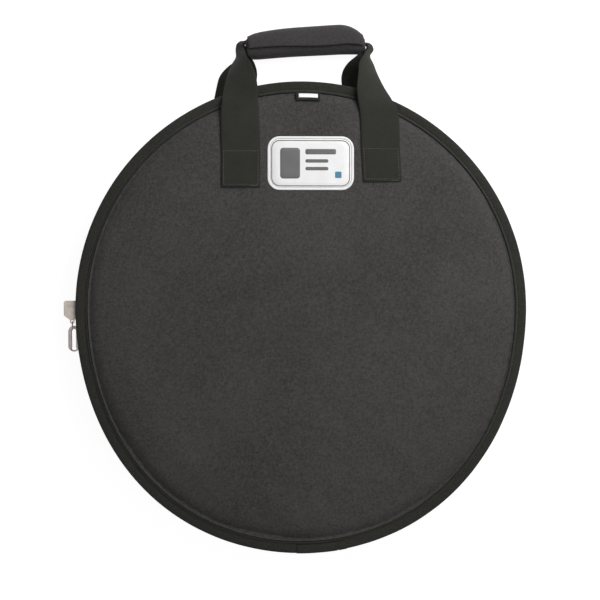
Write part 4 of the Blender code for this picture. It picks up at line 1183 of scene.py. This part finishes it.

# %% [markdown]
# The flap is the free end of the wrap. It starts sewn along the top of the grip and lies over the
# front, where its hemmed edge makes the line that crosses the grip in the photograph. It could be part
# of the pad, but it opens, so it is a shell of its own between two lifts off the pad. It is baked in
# place. Two strips close it.

# %% Grip: the closing flap and its hook and loop strips
FLAP_SHARES = (0.014, 0.986)
FLAP_FIRST, FLAP_LAST = 8, 92
FLAP_SWAY = 11.0
FLAP_CLOTH = 0.0013
FLAP_LOW, FLAP_HIGH = 0.0004, 0.0027
HEM_RISE = 0.00035
PILE_SHARES = (0.1, 0.9)
PILE_FIRST, PILE_LAST = 58, 82


def flap_lift(turn):
    """How far the flap's under side stands off the pad, from its seam to the closing strips."""
    start, reach = math.radians(FLAP_FIRST), math.radians(PILE_FIRST - FLAP_FIRST)
    return FLAP_LOW + (FLAP_HIGH - FLAP_LOW) * np.clip((turn - start) / reach, 0, 1)


def shell_ring(share, turns_in, low_lift, high_lift):
    """A closed section between two lifts off the pad, out along one and back along the other."""
    tall, deep = grip_size(share)
    lift = np.concatenate([low_lift, high_lift[::-1]])
    turn = np.concatenate([turns_in, turns_in[::-1]])
    return grip_points(np.full(len(turn), share), turn, tall + lift, deep + lift)


def wrap_piece(name, shares, first, last, low, high, finish, steps=12, rows=30, sway=0.0):
    """A strip round part of the grip, with rounded long sides. Its last side reaches further by sway."""
    level = np.linspace(0, 1, steps)
    edge = np.abs(2 * level - 1) ** 14
    rings = []
    for share in np.linspace(*shares, rows):
        turn = np.radians(first + level * (last - first + sway * math.sin(math.pi * share**1.6)))
        middle = (low(turn) + high(turn)) / 2
        half = (high(turn) - low(turn)) / 2 * (1 - 0.75 * edge)
        hem = HEM_RISE * np.exp(-(((turn - turn[-1]) / math.radians(7)) ** 2))
        rings.append(shell_ring(share, turn, middle - half, middle + half + hem))
    grid = np.stack(rings)
    uv = uv_grid(lengths(grid[:, 0]), lengths(grid[rows // 2], closed=True))
    return grid_piece(name, grid, uv, finish, close_cols=True, caps=True)


flap = wrap_piece(
    "grip_flap_cloth", FLAP_SHARES, FLAP_FIRST, FLAP_LAST, flap_lift, lambda t: flap_lift(t) + FLAP_CLOTH,
    grip_cloth, 34, 44, FLAP_SWAY,
)
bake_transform(flap)
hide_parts("grip_flap")

for kind, body, low, high in (("hook", "front_handle", 0.0003, 0.0012), ("loop", "grip_flap", 0.0015, 0.0024)):
    strip = wrap_piece(
        "grip_" + kind + "_pile", PILE_SHARES, PILE_FIRST, PILE_LAST,
        lambda t: low + 0 * t, lambda t: high + 0 * t, pile,
    )
    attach(strip, body)
    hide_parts("grip_" + kind + "_strip")

# %% [markdown]
# The side wall bulges out between the two seams. A straight wall would look like a tin, so its line is
# a superellipse of power three from the seam to its crest half way up. Below the zip the wall is one
# cloth, which waves a little; above, two strips leave the zip free. The wall's lining follows the same
# line and the same waves, so that the two never cut each other.

# %% Side wall
WALL_FOOT = 0.0133
WALL_BULGE = 0.0073
WALL_LOW = 0.0129
WALL_SEAM = 0.0107
STRIP_TOP = 0.0245
LINING_EDGE = 0.0121
LINING_NEAR, LINING_FAR = 0.0012, 0.0020
WALL_WAVE = 0.0007
WALL_SEED = 2.6
WALL_TURNS = 420


def wall_inset(z, extra=0.0):
    """How far the wall's outer face lies inside the outline at a height, moved in by extra."""
    t = np.clip((np.minimum(z, FRONT_FACE - z) - WALL_LOW) / (MIDDLE - WALL_LOW), 0, 1)
    return WALL_FOOT + extra - WALL_BULGE * (1 - (1 - t) ** 3) ** (1 / 3)


def wall_face(low, high, extra=0.0, count=30):
    """Points of the wall's face between two heights, closer together near the seams."""
    z = low + (high - low) * (1 - np.cos(np.linspace(0, math.pi, count))) / 2
    return np.stack([wall_inset(z, extra), z], axis=1)


def wall_warp(grid, angle, _):
    """Bulges the wall out and in by slow waves round the bag, with none at its two edges."""
    rise = np.clip((grid[..., 2] - WALL_LOW) / (FRONT_FACE - WALL_LOW - WALL_LOW), 0, 1)
    share = np.sin(math.pi * rise) ** 1.2
    wave = ripple(angle, WALL_SEED, (11, 1, 0.5), (19, 2, 0.35), (34, 3, 0.25))
    grid[..., :2] *= 1 + (WALL_WAVE * wave * share / RADIUS)[..., None]
    return grid


def seam_leg(extra):
    """The edge that turns out into the rear seam, at the height of the outer or the inner face."""
    z = WALL_SEAM + SKIN - extra
    return np.array([(SEAM_EDGE + 0.0003, z), (0.0060, z), (0.0105, z), (WALL_FOOT + extra - 0.0006, z + 0.0001)])


def wall_side(extra):
    """One face of the wall from the rear seam's edge to the front seam's."""
    face = wall_face(WALL_LOW, FRONT_FACE - WALL_LOW, extra)
    return np.vstack([seam_leg(extra), face, on_front(seam_leg(extra))[::-1]])


wall_gap = 0.0003 / RADIUS
wall_ends = (side_turn(ZIP_END_Y) + wall_gap, math.tau + side_turn(ZIP_END_Y, True) - wall_gap)
lining_side = [wall_face(LINING_EDGE, FRONT_FACE - LINING_EDGE, extra) for extra in (LINING_NEAR, LINING_FAR)]
for name, (near, far), finish, node_name, slot in (
    ("lower_wall", (wall_side(0.0), wall_side(SKIN)), wall_cloth, "gusset_skin", "wall_fabric"),
    ("wall_lining", lining_side, wall_lining_cloth, "gusset_lining", "lining"),
):
    wall = band_piece(name, np.vstack([near, far[::-1]]), finish, *wall_ends, WALL_TURNS, wall_warp)
    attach(wall, FOOT)
    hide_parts(node_name)

# %% [markdown]
# Above the zip's ends two strips of the same cloth, their free edges hemmed and stitched, hold the zip
# tapes. Both sides could be modelled, but the front one is the rear one seen from the other seam, so
# one section serves twice. The front ones are baked in place.

# %% Zip strips and tapes
HEM = 0.0006
HEM_FROM, HEM_TO = STRIP_TOP - 0.0085, STRIP_TOP - 0.0075
ZIP_START, ZIP_STOP = side_turn(ZIP_END_Y, True), side_turn(ZIP_END_Y)
ZIP_COUNT = 520


def strip_section():
    """A strip from the rear seam to its hemmed free edge, as (inset, z)."""
    outside, inside = (
        np.vstack([seam_leg(extra), wall_face(WALL_LOW, STRIP_TOP - 0.0004, extra, 16)]) for extra in (0.0, SKIN)
    )
    outside[:, 0] -= ease(outside[:, 1], HEM_FROM, HEM_TO) * HEM
    edge = np.array([(outside[-1, 0] + 0.0004, STRIP_TOP), (inside[-1, 0] - 0.0003, STRIP_TOP)])
    return np.vstack([outside, edge, inside[::-1]])


def slab(inset, thickness, low, high, steps=6):
    """A flat band's section with slightly rounded edges."""
    z = np.linspace(low, high, steps)
    round_off = np.abs(np.linspace(-1, 1, steps)) ** 12 * thickness * 0.3
    near_side = np.stack([inset + round_off, z], axis=1)
    far_side = np.stack([inset + thickness - round_off, z], axis=1)
    return np.vstack([near_side, far_side[::-1]])


def zip_band(name, section, finish, rear_nodes, front_nodes):
    """The rear band on the fixed body and its mirror on the front, baked in place."""
    rear = band_piece("rear_" + name, section, finish, ZIP_START, ZIP_STOP, ZIP_COUNT)
    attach(rear, FOOT)
    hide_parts(*rear_nodes)
    front = band_piece("front_" + name, on_front(section), finish, ZIP_START, ZIP_STOP, ZIP_COUNT)
    across_fold(front)
    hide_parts(*front_nodes)


strip_nodes = ("front_zip_strip", "front_strip_end_left", "front_strip_end_right")
zip_band("strip", strip_section(), wall_cloth, ("rear_zip_strip",), strip_nodes)
RIBBON_INSET, RIBBON, RIBBON_WIDTH = 0.0072, 0.0007, 0.0117
RIBBON_TOP = MIDDLE - ZIP_SLIT / 2
ribbon = slab(RIBBON_INSET, RIBBON, RIBBON_TOP - RIBBON_WIDTH, RIBBON_TOP)
ribbon_nodes = ("zip_tape_front", "zip_tape_front_end_left", "zip_tape_front_end_right")
zip_band("zip_ribbon", ribbon, zip_cloth, ("zip_tape_rear",), ribbon_nodes)

# %% [markdown]
# The zip is a spiral of thick nylon thread on each tape. One turn of it is a rounded tooth that lies
# across the tape, with a broad head at the middle. A true spiral has many faces that nobody sees, so
# each turn is a closed tooth of a few dozen faces. The two sides are half a pitch apart, so that their
# heads lie between each other. All teeth of a side are one mesh.

# %% Zip coils
TOOTH_PITCH = 0.0021
TOOTH_HALF = 0.00072
COIL_RADIUS = RADIUS - 0.00535
COIL_RISE = 0.00150
HEAD_REACH = 0.00025
TOOTH_TAIL = 0.0042


def tooth_points():
    """One tooth lying along +Z from its tail at 0 to its head: rings whose size swells at the head."""
    at = np.array((0.0, 0.04, 0.3, 0.72, 0.86, 0.96, 1.0))
    swell_by = np.array((0.45, 0.85, 0.92, 0.92, 1.08, 0.80, 0.40))
    turn = turns(8)
    length = TOOTH_TAIL + ZIP_SLIT / 2 + HEAD_REACH
    x = swell_by[:, None] * np.cos(turn) * COIL_RISE
    y = swell_by[:, None] * np.sin(turn) * TOOTH_HALF
    z = (at * length)[:, None] + 0 * turn
    return np.stack([x, y, z], axis=-1)


def coil_piece(name, front):
    """All teeth of one side: the tooth turned to each place along the zip, tail on its tape."""
    tooth = tooth_points()
    if front:
        tooth[..., 2] *= -1
    line = rim(np.linspace(ZIP_START, ZIP_STOP, 3000), RADIUS - COIL_RADIUS)
    at = lengths(line)
    count = int(at[-1] / TOOTH_PITCH)
    stops = (np.arange(count) + (0.75 if front else 0.25)) * at[-1] / count
    place = spots_on(line, at, stops)
    out = unit(place)
    along = np.stack([-out[:, 1], out[:, 0], np.zeros(count)], axis=1)
    upward = np.broadcast_to((0.0, 0.0, 1.0), out.shape)
    tail = RIBBON_TOP - TOOTH_TAIL
    place[:, 2] = FRONT_FACE - tail if front else tail
    print(name, "in teeth:", count)
    piece = repeated(name, tooth, np.stack([out, along, upward], axis=1), place, coil)
    return piece


rear_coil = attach(coil_piece("rear_coil", False), FOOT)
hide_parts("zip_coil_rear")
front_coil = across_fold(coil_piece("front_coil", True))
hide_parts("zip_coil_front", "zip_coil_front_end_left", "zip_coil_front_end_right")

# %% [markdown]
# Rows of stitches hold each strip's hem to its zip tape, and a square of webbing is sewn over each end
# of the zip. A flat plate would stand off the round wall, so each tab is a short band on the outline.

# %% Hem stitches and end tabs
HEM_LINE = 0.0227


def hem_stitches(name, front):
    """A row of stitches along a strip's hem, backs out."""
    angle = np.linspace(ZIP_START + 0.004, ZIP_STOP - 0.004, 1500)
    line = rim(angle, wall_inset(HEM_LINE) - HEM - 0.0001)
    line[:, 2] = FRONT_FACE - HEM_LINE if front else HEM_LINE
    middles, along = stitch_line(line)
    return sew(name, middles, along, unit(middles * (1, 1, 0)))


rear_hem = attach(hem_stitches("rear_hem_stitches", False), FOOT)
front_hem = across_fold(hem_stitches("front_hem_stitches", True))

TAB_FROM = ZIP_END_Y - 0.0005
TAB_TO = TAB_FROM - 0.016
TAB_HALF = 0.0125
TAB_INSET = 0.0044
TAB_THICK = 0.0013
TAB_SEAM = 0.0018
tab_section = slab(TAB_INSET, TAB_THICK, MIDDLE - TAB_HALF, MIDDLE + TAB_HALF, 14)
for right, side in ((False, "left"), (True, "right")):
    ends = sorted((side_turn(TAB_FROM, right), side_turn(TAB_TO, right)))
    tab = band_piece("end_tab_" + side, tab_section, webbing, *ends, 24)
    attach(tab, FOOT)
    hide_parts("zip_end_tab_" + side)
    first, last = ends[0] + TAB_SEAM / RADIUS, ends[1] - TAB_SEAM / RADIUS
    corners = ((first, -1), (last, -1), (last, 1), (first, 1))
    line = [rim(a, TAB_INSET - 0.0001) + (0, 0, MIDDLE + s * (TAB_HALF - TAB_SEAM)) for a, s in corners]
    middles, along = stitch_line(np.array(line), 0.003, closed=True)
    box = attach(sew("tab_stitches_" + side, middles, along, unit(middles * (1, 1, 0))), FOOT)

# %% [markdown]
# Inside, a thin smooth lining lies over each panel's foam, and two soft felt sheets lie loose between
# the cymbals. Rings like the panel's would leave long faces across the fold, which would come through
# the cloth when it bends, so the sheets are rows along the fold. The front lining is baked in place.

# %% Linings and dividers
SHEET_ROWS = 76
SHEET_COLUMNS = 36
FOLD_ROWS = 18
FOLD_MARGIN = 0.002


def sheet_piece(name, edge, low, high, finish):
    """A thin sheet cut to the bag's outline, as rows that lie along the fold.

    Each row is a loop: over the sheet from side to side and back under it. Half its width is the
    outline's own half width at that height. Rows stand closer together where the cover bends.
    """
    outline = rim(np.linspace(-math.pi / 2, math.pi / 2, 1441), edge)
    foot, head = outline[0, 1], outline[-1, 1]
    even = foot + (head - foot) * (1 - np.cos(np.linspace(0.02, math.pi - 0.02, SHEET_ROWS))) / 2
    first, last = FOLD_START[1] - FOLD_MARGIN, FOLD_END[1] + FOLD_MARGIN
    even = even[(even < first - 0.003) | (even > last + 0.003)]
    height = np.sort(np.concatenate([even, np.linspace(first, last, FOLD_ROWS)]))
    half = np.interp(height, outline[:, 1], outline[:, 0])
    across = np.cos(np.linspace(0, math.pi, SHEET_COLUMNS))
    grid = np.zeros((len(height), 2 * SHEET_COLUMNS, 3))
    grid[..., 0] = half[:, None] * np.concatenate([across, across[::-1]])
    grid[..., 1] = height[:, None]
    grid[..., 2] = np.repeat((high, low), SHEET_COLUMNS)
    return grid_piece(name, grid, disc_uv(grid), finish, close_cols=True, caps=True)


LINING_INSET = 0.0145
DIVIDER_INSET = 0.024
LINING_LOW, LINING_HIGH = 0.0110, 0.0118
FELT = 0.0016
back_lining = sheet_piece("back_lining_cloth", LINING_INSET, LINING_LOW, LINING_HIGH, lining_cloth)
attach(back_lining, FOOT)
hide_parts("back_lining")
front_sides = (FRONT_FACE - LINING_HIGH, FRONT_FACE - LINING_LOW)
front_lining = across_fold(sheet_piece("front_lining_cloth", LINING_INSET, *front_sides, lining_cloth))
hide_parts("front_lining_upper", "front_lining_lower")

for name, low in (("divider_1", 0.0121), ("divider_2", 0.0140)):
    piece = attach(sheet_piece(name + "_felt", DIVIDER_INSET, low, low + FELT, felt), FOOT)
    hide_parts(name)


# %% [markdown]
# The sewn ends of the webbing carry a box of stitches and a short dense row at the lower corner. They
# could be a printed line, but they are what holds the bag's weight, so they are sewn like the seams.

# %% Stitches of the webbing
BOX_PITCH, BAR_PITCH = 0.0034, 0.0019
BOX_SIDE, BOX_FOOT, BOX_HEAD, BAR_FOOT = 0.003, 0.0035, 0.0015, 0.0018


def sewn_box(name, right, rear, body):
    """A box of stitches on a strap's sewn end, and a short bar of close stitches at its outer corner."""
    (base_x, base_y), (top_x, top_y) = SEWN[right]
    z = 0.0001 if rear else FRONT_FACE + GAP + WEB + 0.0001
    half = WEB_WIDTH / 2 - BOX_SIDE
    lean = (top_x - base_x) / (top_y - base_y)
    shift = REAR_SHIFT if rear else 0.0

    def place(side, y):
        return (base_x + shift + lean * (y - base_y) + side * half, y, z)

    foot, head = base_y + BOX_FOOT, top_y - BOX_HEAD
    corners = np.array([place(-1, foot), place(1, foot), place(1, head), place(-1, head)])
    middles, along = stitch_line(corners, BOX_PITCH, closed=True)
    bar = np.array([place(0.55, base_y + BAR_FOOT), place(0.97, base_y + BAR_FOOT)])
    bar_middles, bar_along = stitch_line(bar, BAR_PITCH)
    middles, along = np.vstack([middles, bar_middles]), np.vstack([along, bar_along])
    up = np.broadcast_to((0.0, 0.0, -1.0 if rear else 1.0), middles.shape)
    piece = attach(sew(name, middles, along, up), body)


for right, side in ((False, "left"), (True, "right")):
    sewn_box("front_strap_stitches_" + side, right, False, "cover")
    sewn_box("rear_strap_stitches_" + side, right, True, FOOT)

# %% [markdown]
# The slider and the stops are cast and bent metal. The solids already have their shapes, so they are
# merged copies of the solids with rounded edges, and not new grids. The link and the loop are bars,
# which a bevel can't make round: a rounded section carried round a rounded rectangle.

# %% Slider, stops and puller
def rounded_copy(name, source, body, bevel, change=None):
    """A merged copy of a solid, changed if asked, with its edges rounded by a bevel."""
    solid = bpy.data.objects[source]
    mesh = solid.data.copy()
    mesh.transform(solid.matrix_world)
    shape = bmesh.new()
    shape.from_mesh(mesh)
    bmesh.ops.remove_doubles(shape, verts=shape.verts, dist=0.00001)
    bmesh.ops.dissolve_limit(shape, angle_limit=math.radians(2), verts=shape.verts, edges=shape.edges)
    shape.to_mesh(mesh)
    shape.free()
    if change is not None:
        spots = np.empty(len(mesh.vertices) * 3, np.float32)
        mesh.vertices.foreach_get("co", spots)
        mesh.vertices.foreach_set("co", change(spots.reshape(-1, 3)).astype(np.float32).ravel())
    mesh.materials.clear()
    mesh.materials.append(zip_metal)
    piece = placed(name, mesh)
    edge = piece.modifiers.new("edge", "BEVEL")
    edge.width = bevel
    edge.segments = 3
    edge.limit_method = "ANGLE"
    edge.angle_limit = math.radians(35)
    finished = apply_last(piece, edge)
    finished.shade_smooth()
    finished.set_sharp_from_angle(angle=math.radians(40))
    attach(piece, body)
    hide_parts(source)


SLIDER_TURN = math.pi + math.asin(0.004 / RADIUS)
TO_WORLD = np.array(Matrix.Rotation(SLIDER_TURN, 3, "Z"))
OUTER_FACE, UPPER_FACE = 0.3055, 0.3038
CAP_OUT = 0.0052
CAP_UP = 0.0025
CAP_SLOPE = 0.0032


def stretch_cap(points):
    """Moves the cap's outer face out and its upper end up. The lug stays, and its end slopes to the loop."""
    own = points @ TO_WORLD
    upper = own[:, 1] < 0
    outer_face = own[:, 0] > OUTER_FACE
    own[:, 0] += np.where(outer_face | (upper & (own[:, 0] > UPPER_FACE)), CAP_OUT, 0.0)
    own[:, 1] -= np.where(upper, CAP_UP, np.where(outer_face, CAP_SLOPE, 0.0))
    return own @ TO_WORLD.T


rounded_copy("slider_casting", "slider_body", "slider", 0.0006)
rounded_copy("slider_bridge", "slider_cap", "slider", 0.0009, stretch_cap)
rounded_copy("stop_at_closed_end", "zip_stop_closed", FOOT, 0.0003)
rounded_copy("stop_at_open_end", "zip_stop_open", FOOT, 0.0003)


def round_path(width, length, corner, steps=9):
    """The centre line of a rounded rectangle in a plane, starting at its first corner."""
    x, y = width / 2 - corner, length / 2 - corner
    turn = np.linspace(0, math.pi / 2, steps)
    parts = []
    for k, (cx, cy) in enumerate(((x, y), (-x, y), (-x, -y), (x, -y))):
        at = turn + k * math.pi / 2
        parts.append(np.stack([cx + corner * np.cos(at), cy + corner * np.sin(at)], axis=1))
    return np.vstack(parts)


def bar_loop(path, inner, outer, thick, power, count=14):
    """A closed bar along a flat path: inner and outer reach to its sides, rounded by a power."""
    along = unit(np.roll(path, -1, axis=0) - np.roll(path, 1, axis=0))
    side = np.stack([along[:, 1], -along[:, 0]], axis=1)
    turn = turns(count)
    reach = signed_power(np.cos(turn), power)
    reach = np.where(reach > 0, reach[None, :] * outer[:, None], reach[None, :] * inner[:, None])
    flat = path[:, None] + side[:, None] * reach[..., None]
    rise = np.broadcast_to(signed_power(np.sin(turn), power) * thick, reach.shape)
    return np.concatenate([flat, rise[..., None]], axis=-1)


def closed_piece(name, grid, finish):
    """A ring-shaped piece without a pattern on its UV map."""
    uv = np.zeros((grid.shape[0] + 1, grid.shape[1] + 1, 2))
    return grid_piece(name, grid, uv, finish, close_rows=True, close_cols=True)


def hung_piece(name, grid, tilt, middle, body, source, reach):
    """Tilts a flat loop about the zip's direction and hangs it in the slider's frame, turned to its place."""
    around = np.array(Matrix.Rotation(tilt, 3, "Y"))
    place = (grid @ around.T + (reach, middle, MIDDLE)) @ TO_WORLD.T
    piece = closed_piece(name, place, puller_metal)
    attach(piece, body)
    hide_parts(source)


WIRE = 0.0008
LINK_WIDTH, LINK_LENGTH = 0.0076, 0.0109
link_path = round_path(LINK_WIDTH, LINK_LENGTH, LINK_WIDTH / 3)
wire = np.full(len(link_path), WIRE)
link_bar = bar_loop(link_path, wire, wire, WIRE, 1.0)
hung_piece("puller_link_wire", link_bar, math.pi / 2, 0.01915, "puller_link", "puller_link", 0.3006)

STRIP_HALF, STRIP_THICK = 0.0021, 0.0010
LEG_IN, LEG_OUT, BOTTOM_IN = 0.0005, 0.0009, 0.0028
loop_path = round_path(0.0108, 0.0298, 0.005, 11)
at_bottom = ease(loop_path[:, 1], 0.0118, 0.0145)
on_leg = ease(-loop_path[:, 1], -0.0145, -0.0110) * ease(loop_path[:, 1], -0.0135, -0.0080)
inner_reach = STRIP_HALF + LEG_IN * on_leg - BOTTOM_IN * at_bottom
outer_reach = STRIP_HALF + LEG_OUT * on_leg
loop_bar = bar_loop(loop_path, inner_reach, outer_reach, STRIP_THICK, 0.6, 16)
hung_piece("puller_strip", loop_bar, math.radians(25), 0.0362, "puller", "puller_loop", 0.2986)

# %% [markdown]
# The badge is a printed patch with a raised white border. An image could carry the print, but every
# shape is wanted as a mesh, so it is thin plates: a frame, a block, bars and a small blue square. They
# are plain and stand for no sign.

# %% Badge
BADGE = np.array((0.010, 0.1888))
BADGE_SIZE = np.array((0.113, 0.070))
BADGE_CORNER = 0.016
BADGE_LOW, BADGE_TOP = 0.0623, 0.0631
BORDER_SECTION = [
    (0.0000, BADGE_LOW), (0.0001, 0.0632), (0.0005, 0.0635), (0.0016, 0.0636), (0.0028, 0.0635),
    (0.0032, 0.0632), (0.0033, BADGE_LOW),
]
BORDER_HALF = 0.0035
LINE_INSET, LINE_WIDTH = 0.0050, 0.0011
white_print = plain("badge_white", (0.93, 0.93, 0.93), 0.55, spread=0.03)
grey_print = plain("badge_grey", (0.12, 0.12, 0.12), 0.55, spread=0.08)
blue_print = plain("badge_blue", (0.06, 0.22, 0.36), 0.5, spread=0.08)


def rounded_frame(name, size, corner, section, finish):
    """Carries a closed section of (inset, z) round a rounded rectangle in the badge's middle."""
    rings = []
    for inset, z in section:
        left = max(corner - inset, 0.0003)
        ring = round_path(size[0] - 2 * inset, size[1] - 2 * inset, left) + BADGE
        rings.append(np.concatenate([ring, np.full((len(ring), 1), z)], axis=1))
    return closed_piece(name, np.stack(rings, axis=1), finish)


def plate(name, centre, size, corner, low, high, finish, edge=0.0003):
    """A closed rounded plate: rings from the middle of its top, over its edge, to the middle below."""
    outline = round_path(size[0], size[1], corner)
    inside = round_path(size[0] - 2 * edge, size[1] - 2 * edge, max(corner - edge, edge))
    rings = [(inside * share, high) for share in (0.02, 0.4, 0.8, 1.0)]
    rings += [(outline, high - edge * 0.7), (outline, low)]
    rings += [(inside * share, low) for share in (1.0, 0.5, 0.02)]
    grid = np.stack([np.concatenate([ring + centre, np.full((len(ring), 1), z)], axis=1) for ring, z in rings])
    uv = np.concatenate([grid[..., :2], grid[:, :1, :2]], axis=1)
    return grid_piece(name, grid, uv, finish, close_cols=True, caps=True)


field = plate(
    "badge_field", BADGE, BADGE_SIZE - 2 * BORDER_HALF, BADGE_CORNER - BORDER_HALF, BADGE_LOW, BADGE_TOP, white_print
)
border = rounded_frame("badge_border", BADGE_SIZE, BADGE_CORNER, BORDER_SECTION, white_print)
PRINT_LOW, PRINT_TOP = 0.06295, 0.06325
line_section = [(0.0, PRINT_LOW), (0.0, PRINT_TOP), (LINE_WIDTH, PRINT_TOP), (LINE_WIDTH, PRINT_LOW)]
frame_line = rounded_frame(
    "badge_line", BADGE_SIZE - 2 * LINE_INSET, BADGE_CORNER - LINE_INSET, line_section, grey_print
)
marks = [
    ("badge_block", (-0.0270, 0.0000), (0.026, 0.040), 0.004, grey_print),
    ("badge_bar_1", (0.0130, 0.0150), (0.040, 0.0070), 0.002, grey_print),
    ("badge_bar_2", (0.0080, 0.0030), (0.030, 0.0045), 0.002, grey_print),
    ("badge_bar_3", (0.0080, -0.0070), (0.030, 0.0045), 0.002, grey_print),
    ("badge_square", (0.0360, -0.0150), (0.0085, 0.0085), 0.0015, blue_print),
]
printed = [
    plate(name, BADGE + np.array(centre), np.array(size), corner, PRINT_LOW, PRINT_TOP, finish, 0.0001)
    for name, centre, size, corner, finish in marks
]
for piece in [field, border, frame_line] + printed:
    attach(piece, "cover")
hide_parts("badge")

# %% [markdown]
# The loop label comes out of the seam beside the handle and lies on the panel's rolled edge. It is
# black with a plain pale stripe. A flat plate would cut into the roll, so its section follows the roll.

# %% Loop label
TAG_LOW, TAG_HIGH = 0.0153, 0.0248
TAG_WIDTH, TAG_X = 0.032, 0.007
TAG_STEPS = 16
STRIPE_LOW, STRIPE_HIGH = 0.0176, 0.0222
STRIPE_END = 0.0035


def on_roll(inset, lift):
    """Points on the panel's rolled edge at insets, lifted off its face along the normal."""
    turn = np.arcsin(np.clip((FLAT_INSET - inset) / ROLL, 0, 1))
    normal = unit(np.stack([SKIN_SEAM * np.sin(turn), ROLL * np.cos(turn)], axis=1))
    depth = SKIN_SEAM * (1 - np.cos(turn))
    return np.stack([inset - normal[:, 0] * lift, FRONT_FACE - depth + normal[:, 1] * lift], axis=1)


tag_inset = np.linspace(TAG_LOW, TAG_HIGH, TAG_STEPS)
tag_lift = 0.0017 + 0.0004 * np.sin(np.linspace(0, math.pi, TAG_STEPS))


def tag_section():
    """A loop of tape that comes out of the seam, lies on the roll and folds back under itself."""
    bend = on_roll(np.array((TAG_HIGH + 0.0005, TAG_HIGH + 0.0005)), np.array((0.0014, 0.0007)))
    under = on_roll(tag_inset[::-1], np.full(TAG_STEPS, 0.0004))
    return np.vstack([on_roll(tag_inset, tag_lift), bend, under])


reach = RADIUS - TAG_LOW
tag_ends = (math.acos((TAG_X + TAG_WIDTH / 2) / reach), math.acos((TAG_X - TAG_WIDTH / 2) / reach))
tag = band_piece("loop_label", tag_section(), tag_cloth, *tag_ends, 30)
stripe_inset = np.linspace(STRIPE_LOW, STRIPE_HIGH, 8)
stripe_lift = np.interp(stripe_inset, tag_inset, tag_lift)
stripe_top, stripe_under = (on_roll(stripe_inset, stripe_lift + more) for more in (0.00012, -0.0001))
stripe_section = np.vstack([stripe_top, stripe_under[::-1]])
stripe_ends = (tag_ends[0] + STRIPE_END / RADIUS, tag_ends[1] - STRIPE_END / RADIUS)
stripe = band_piece("label_stripe", stripe_section, white_print, *stripe_ends, 24)
for piece in (tag, stripe):
    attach(piece, "cover")
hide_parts("label_tag")
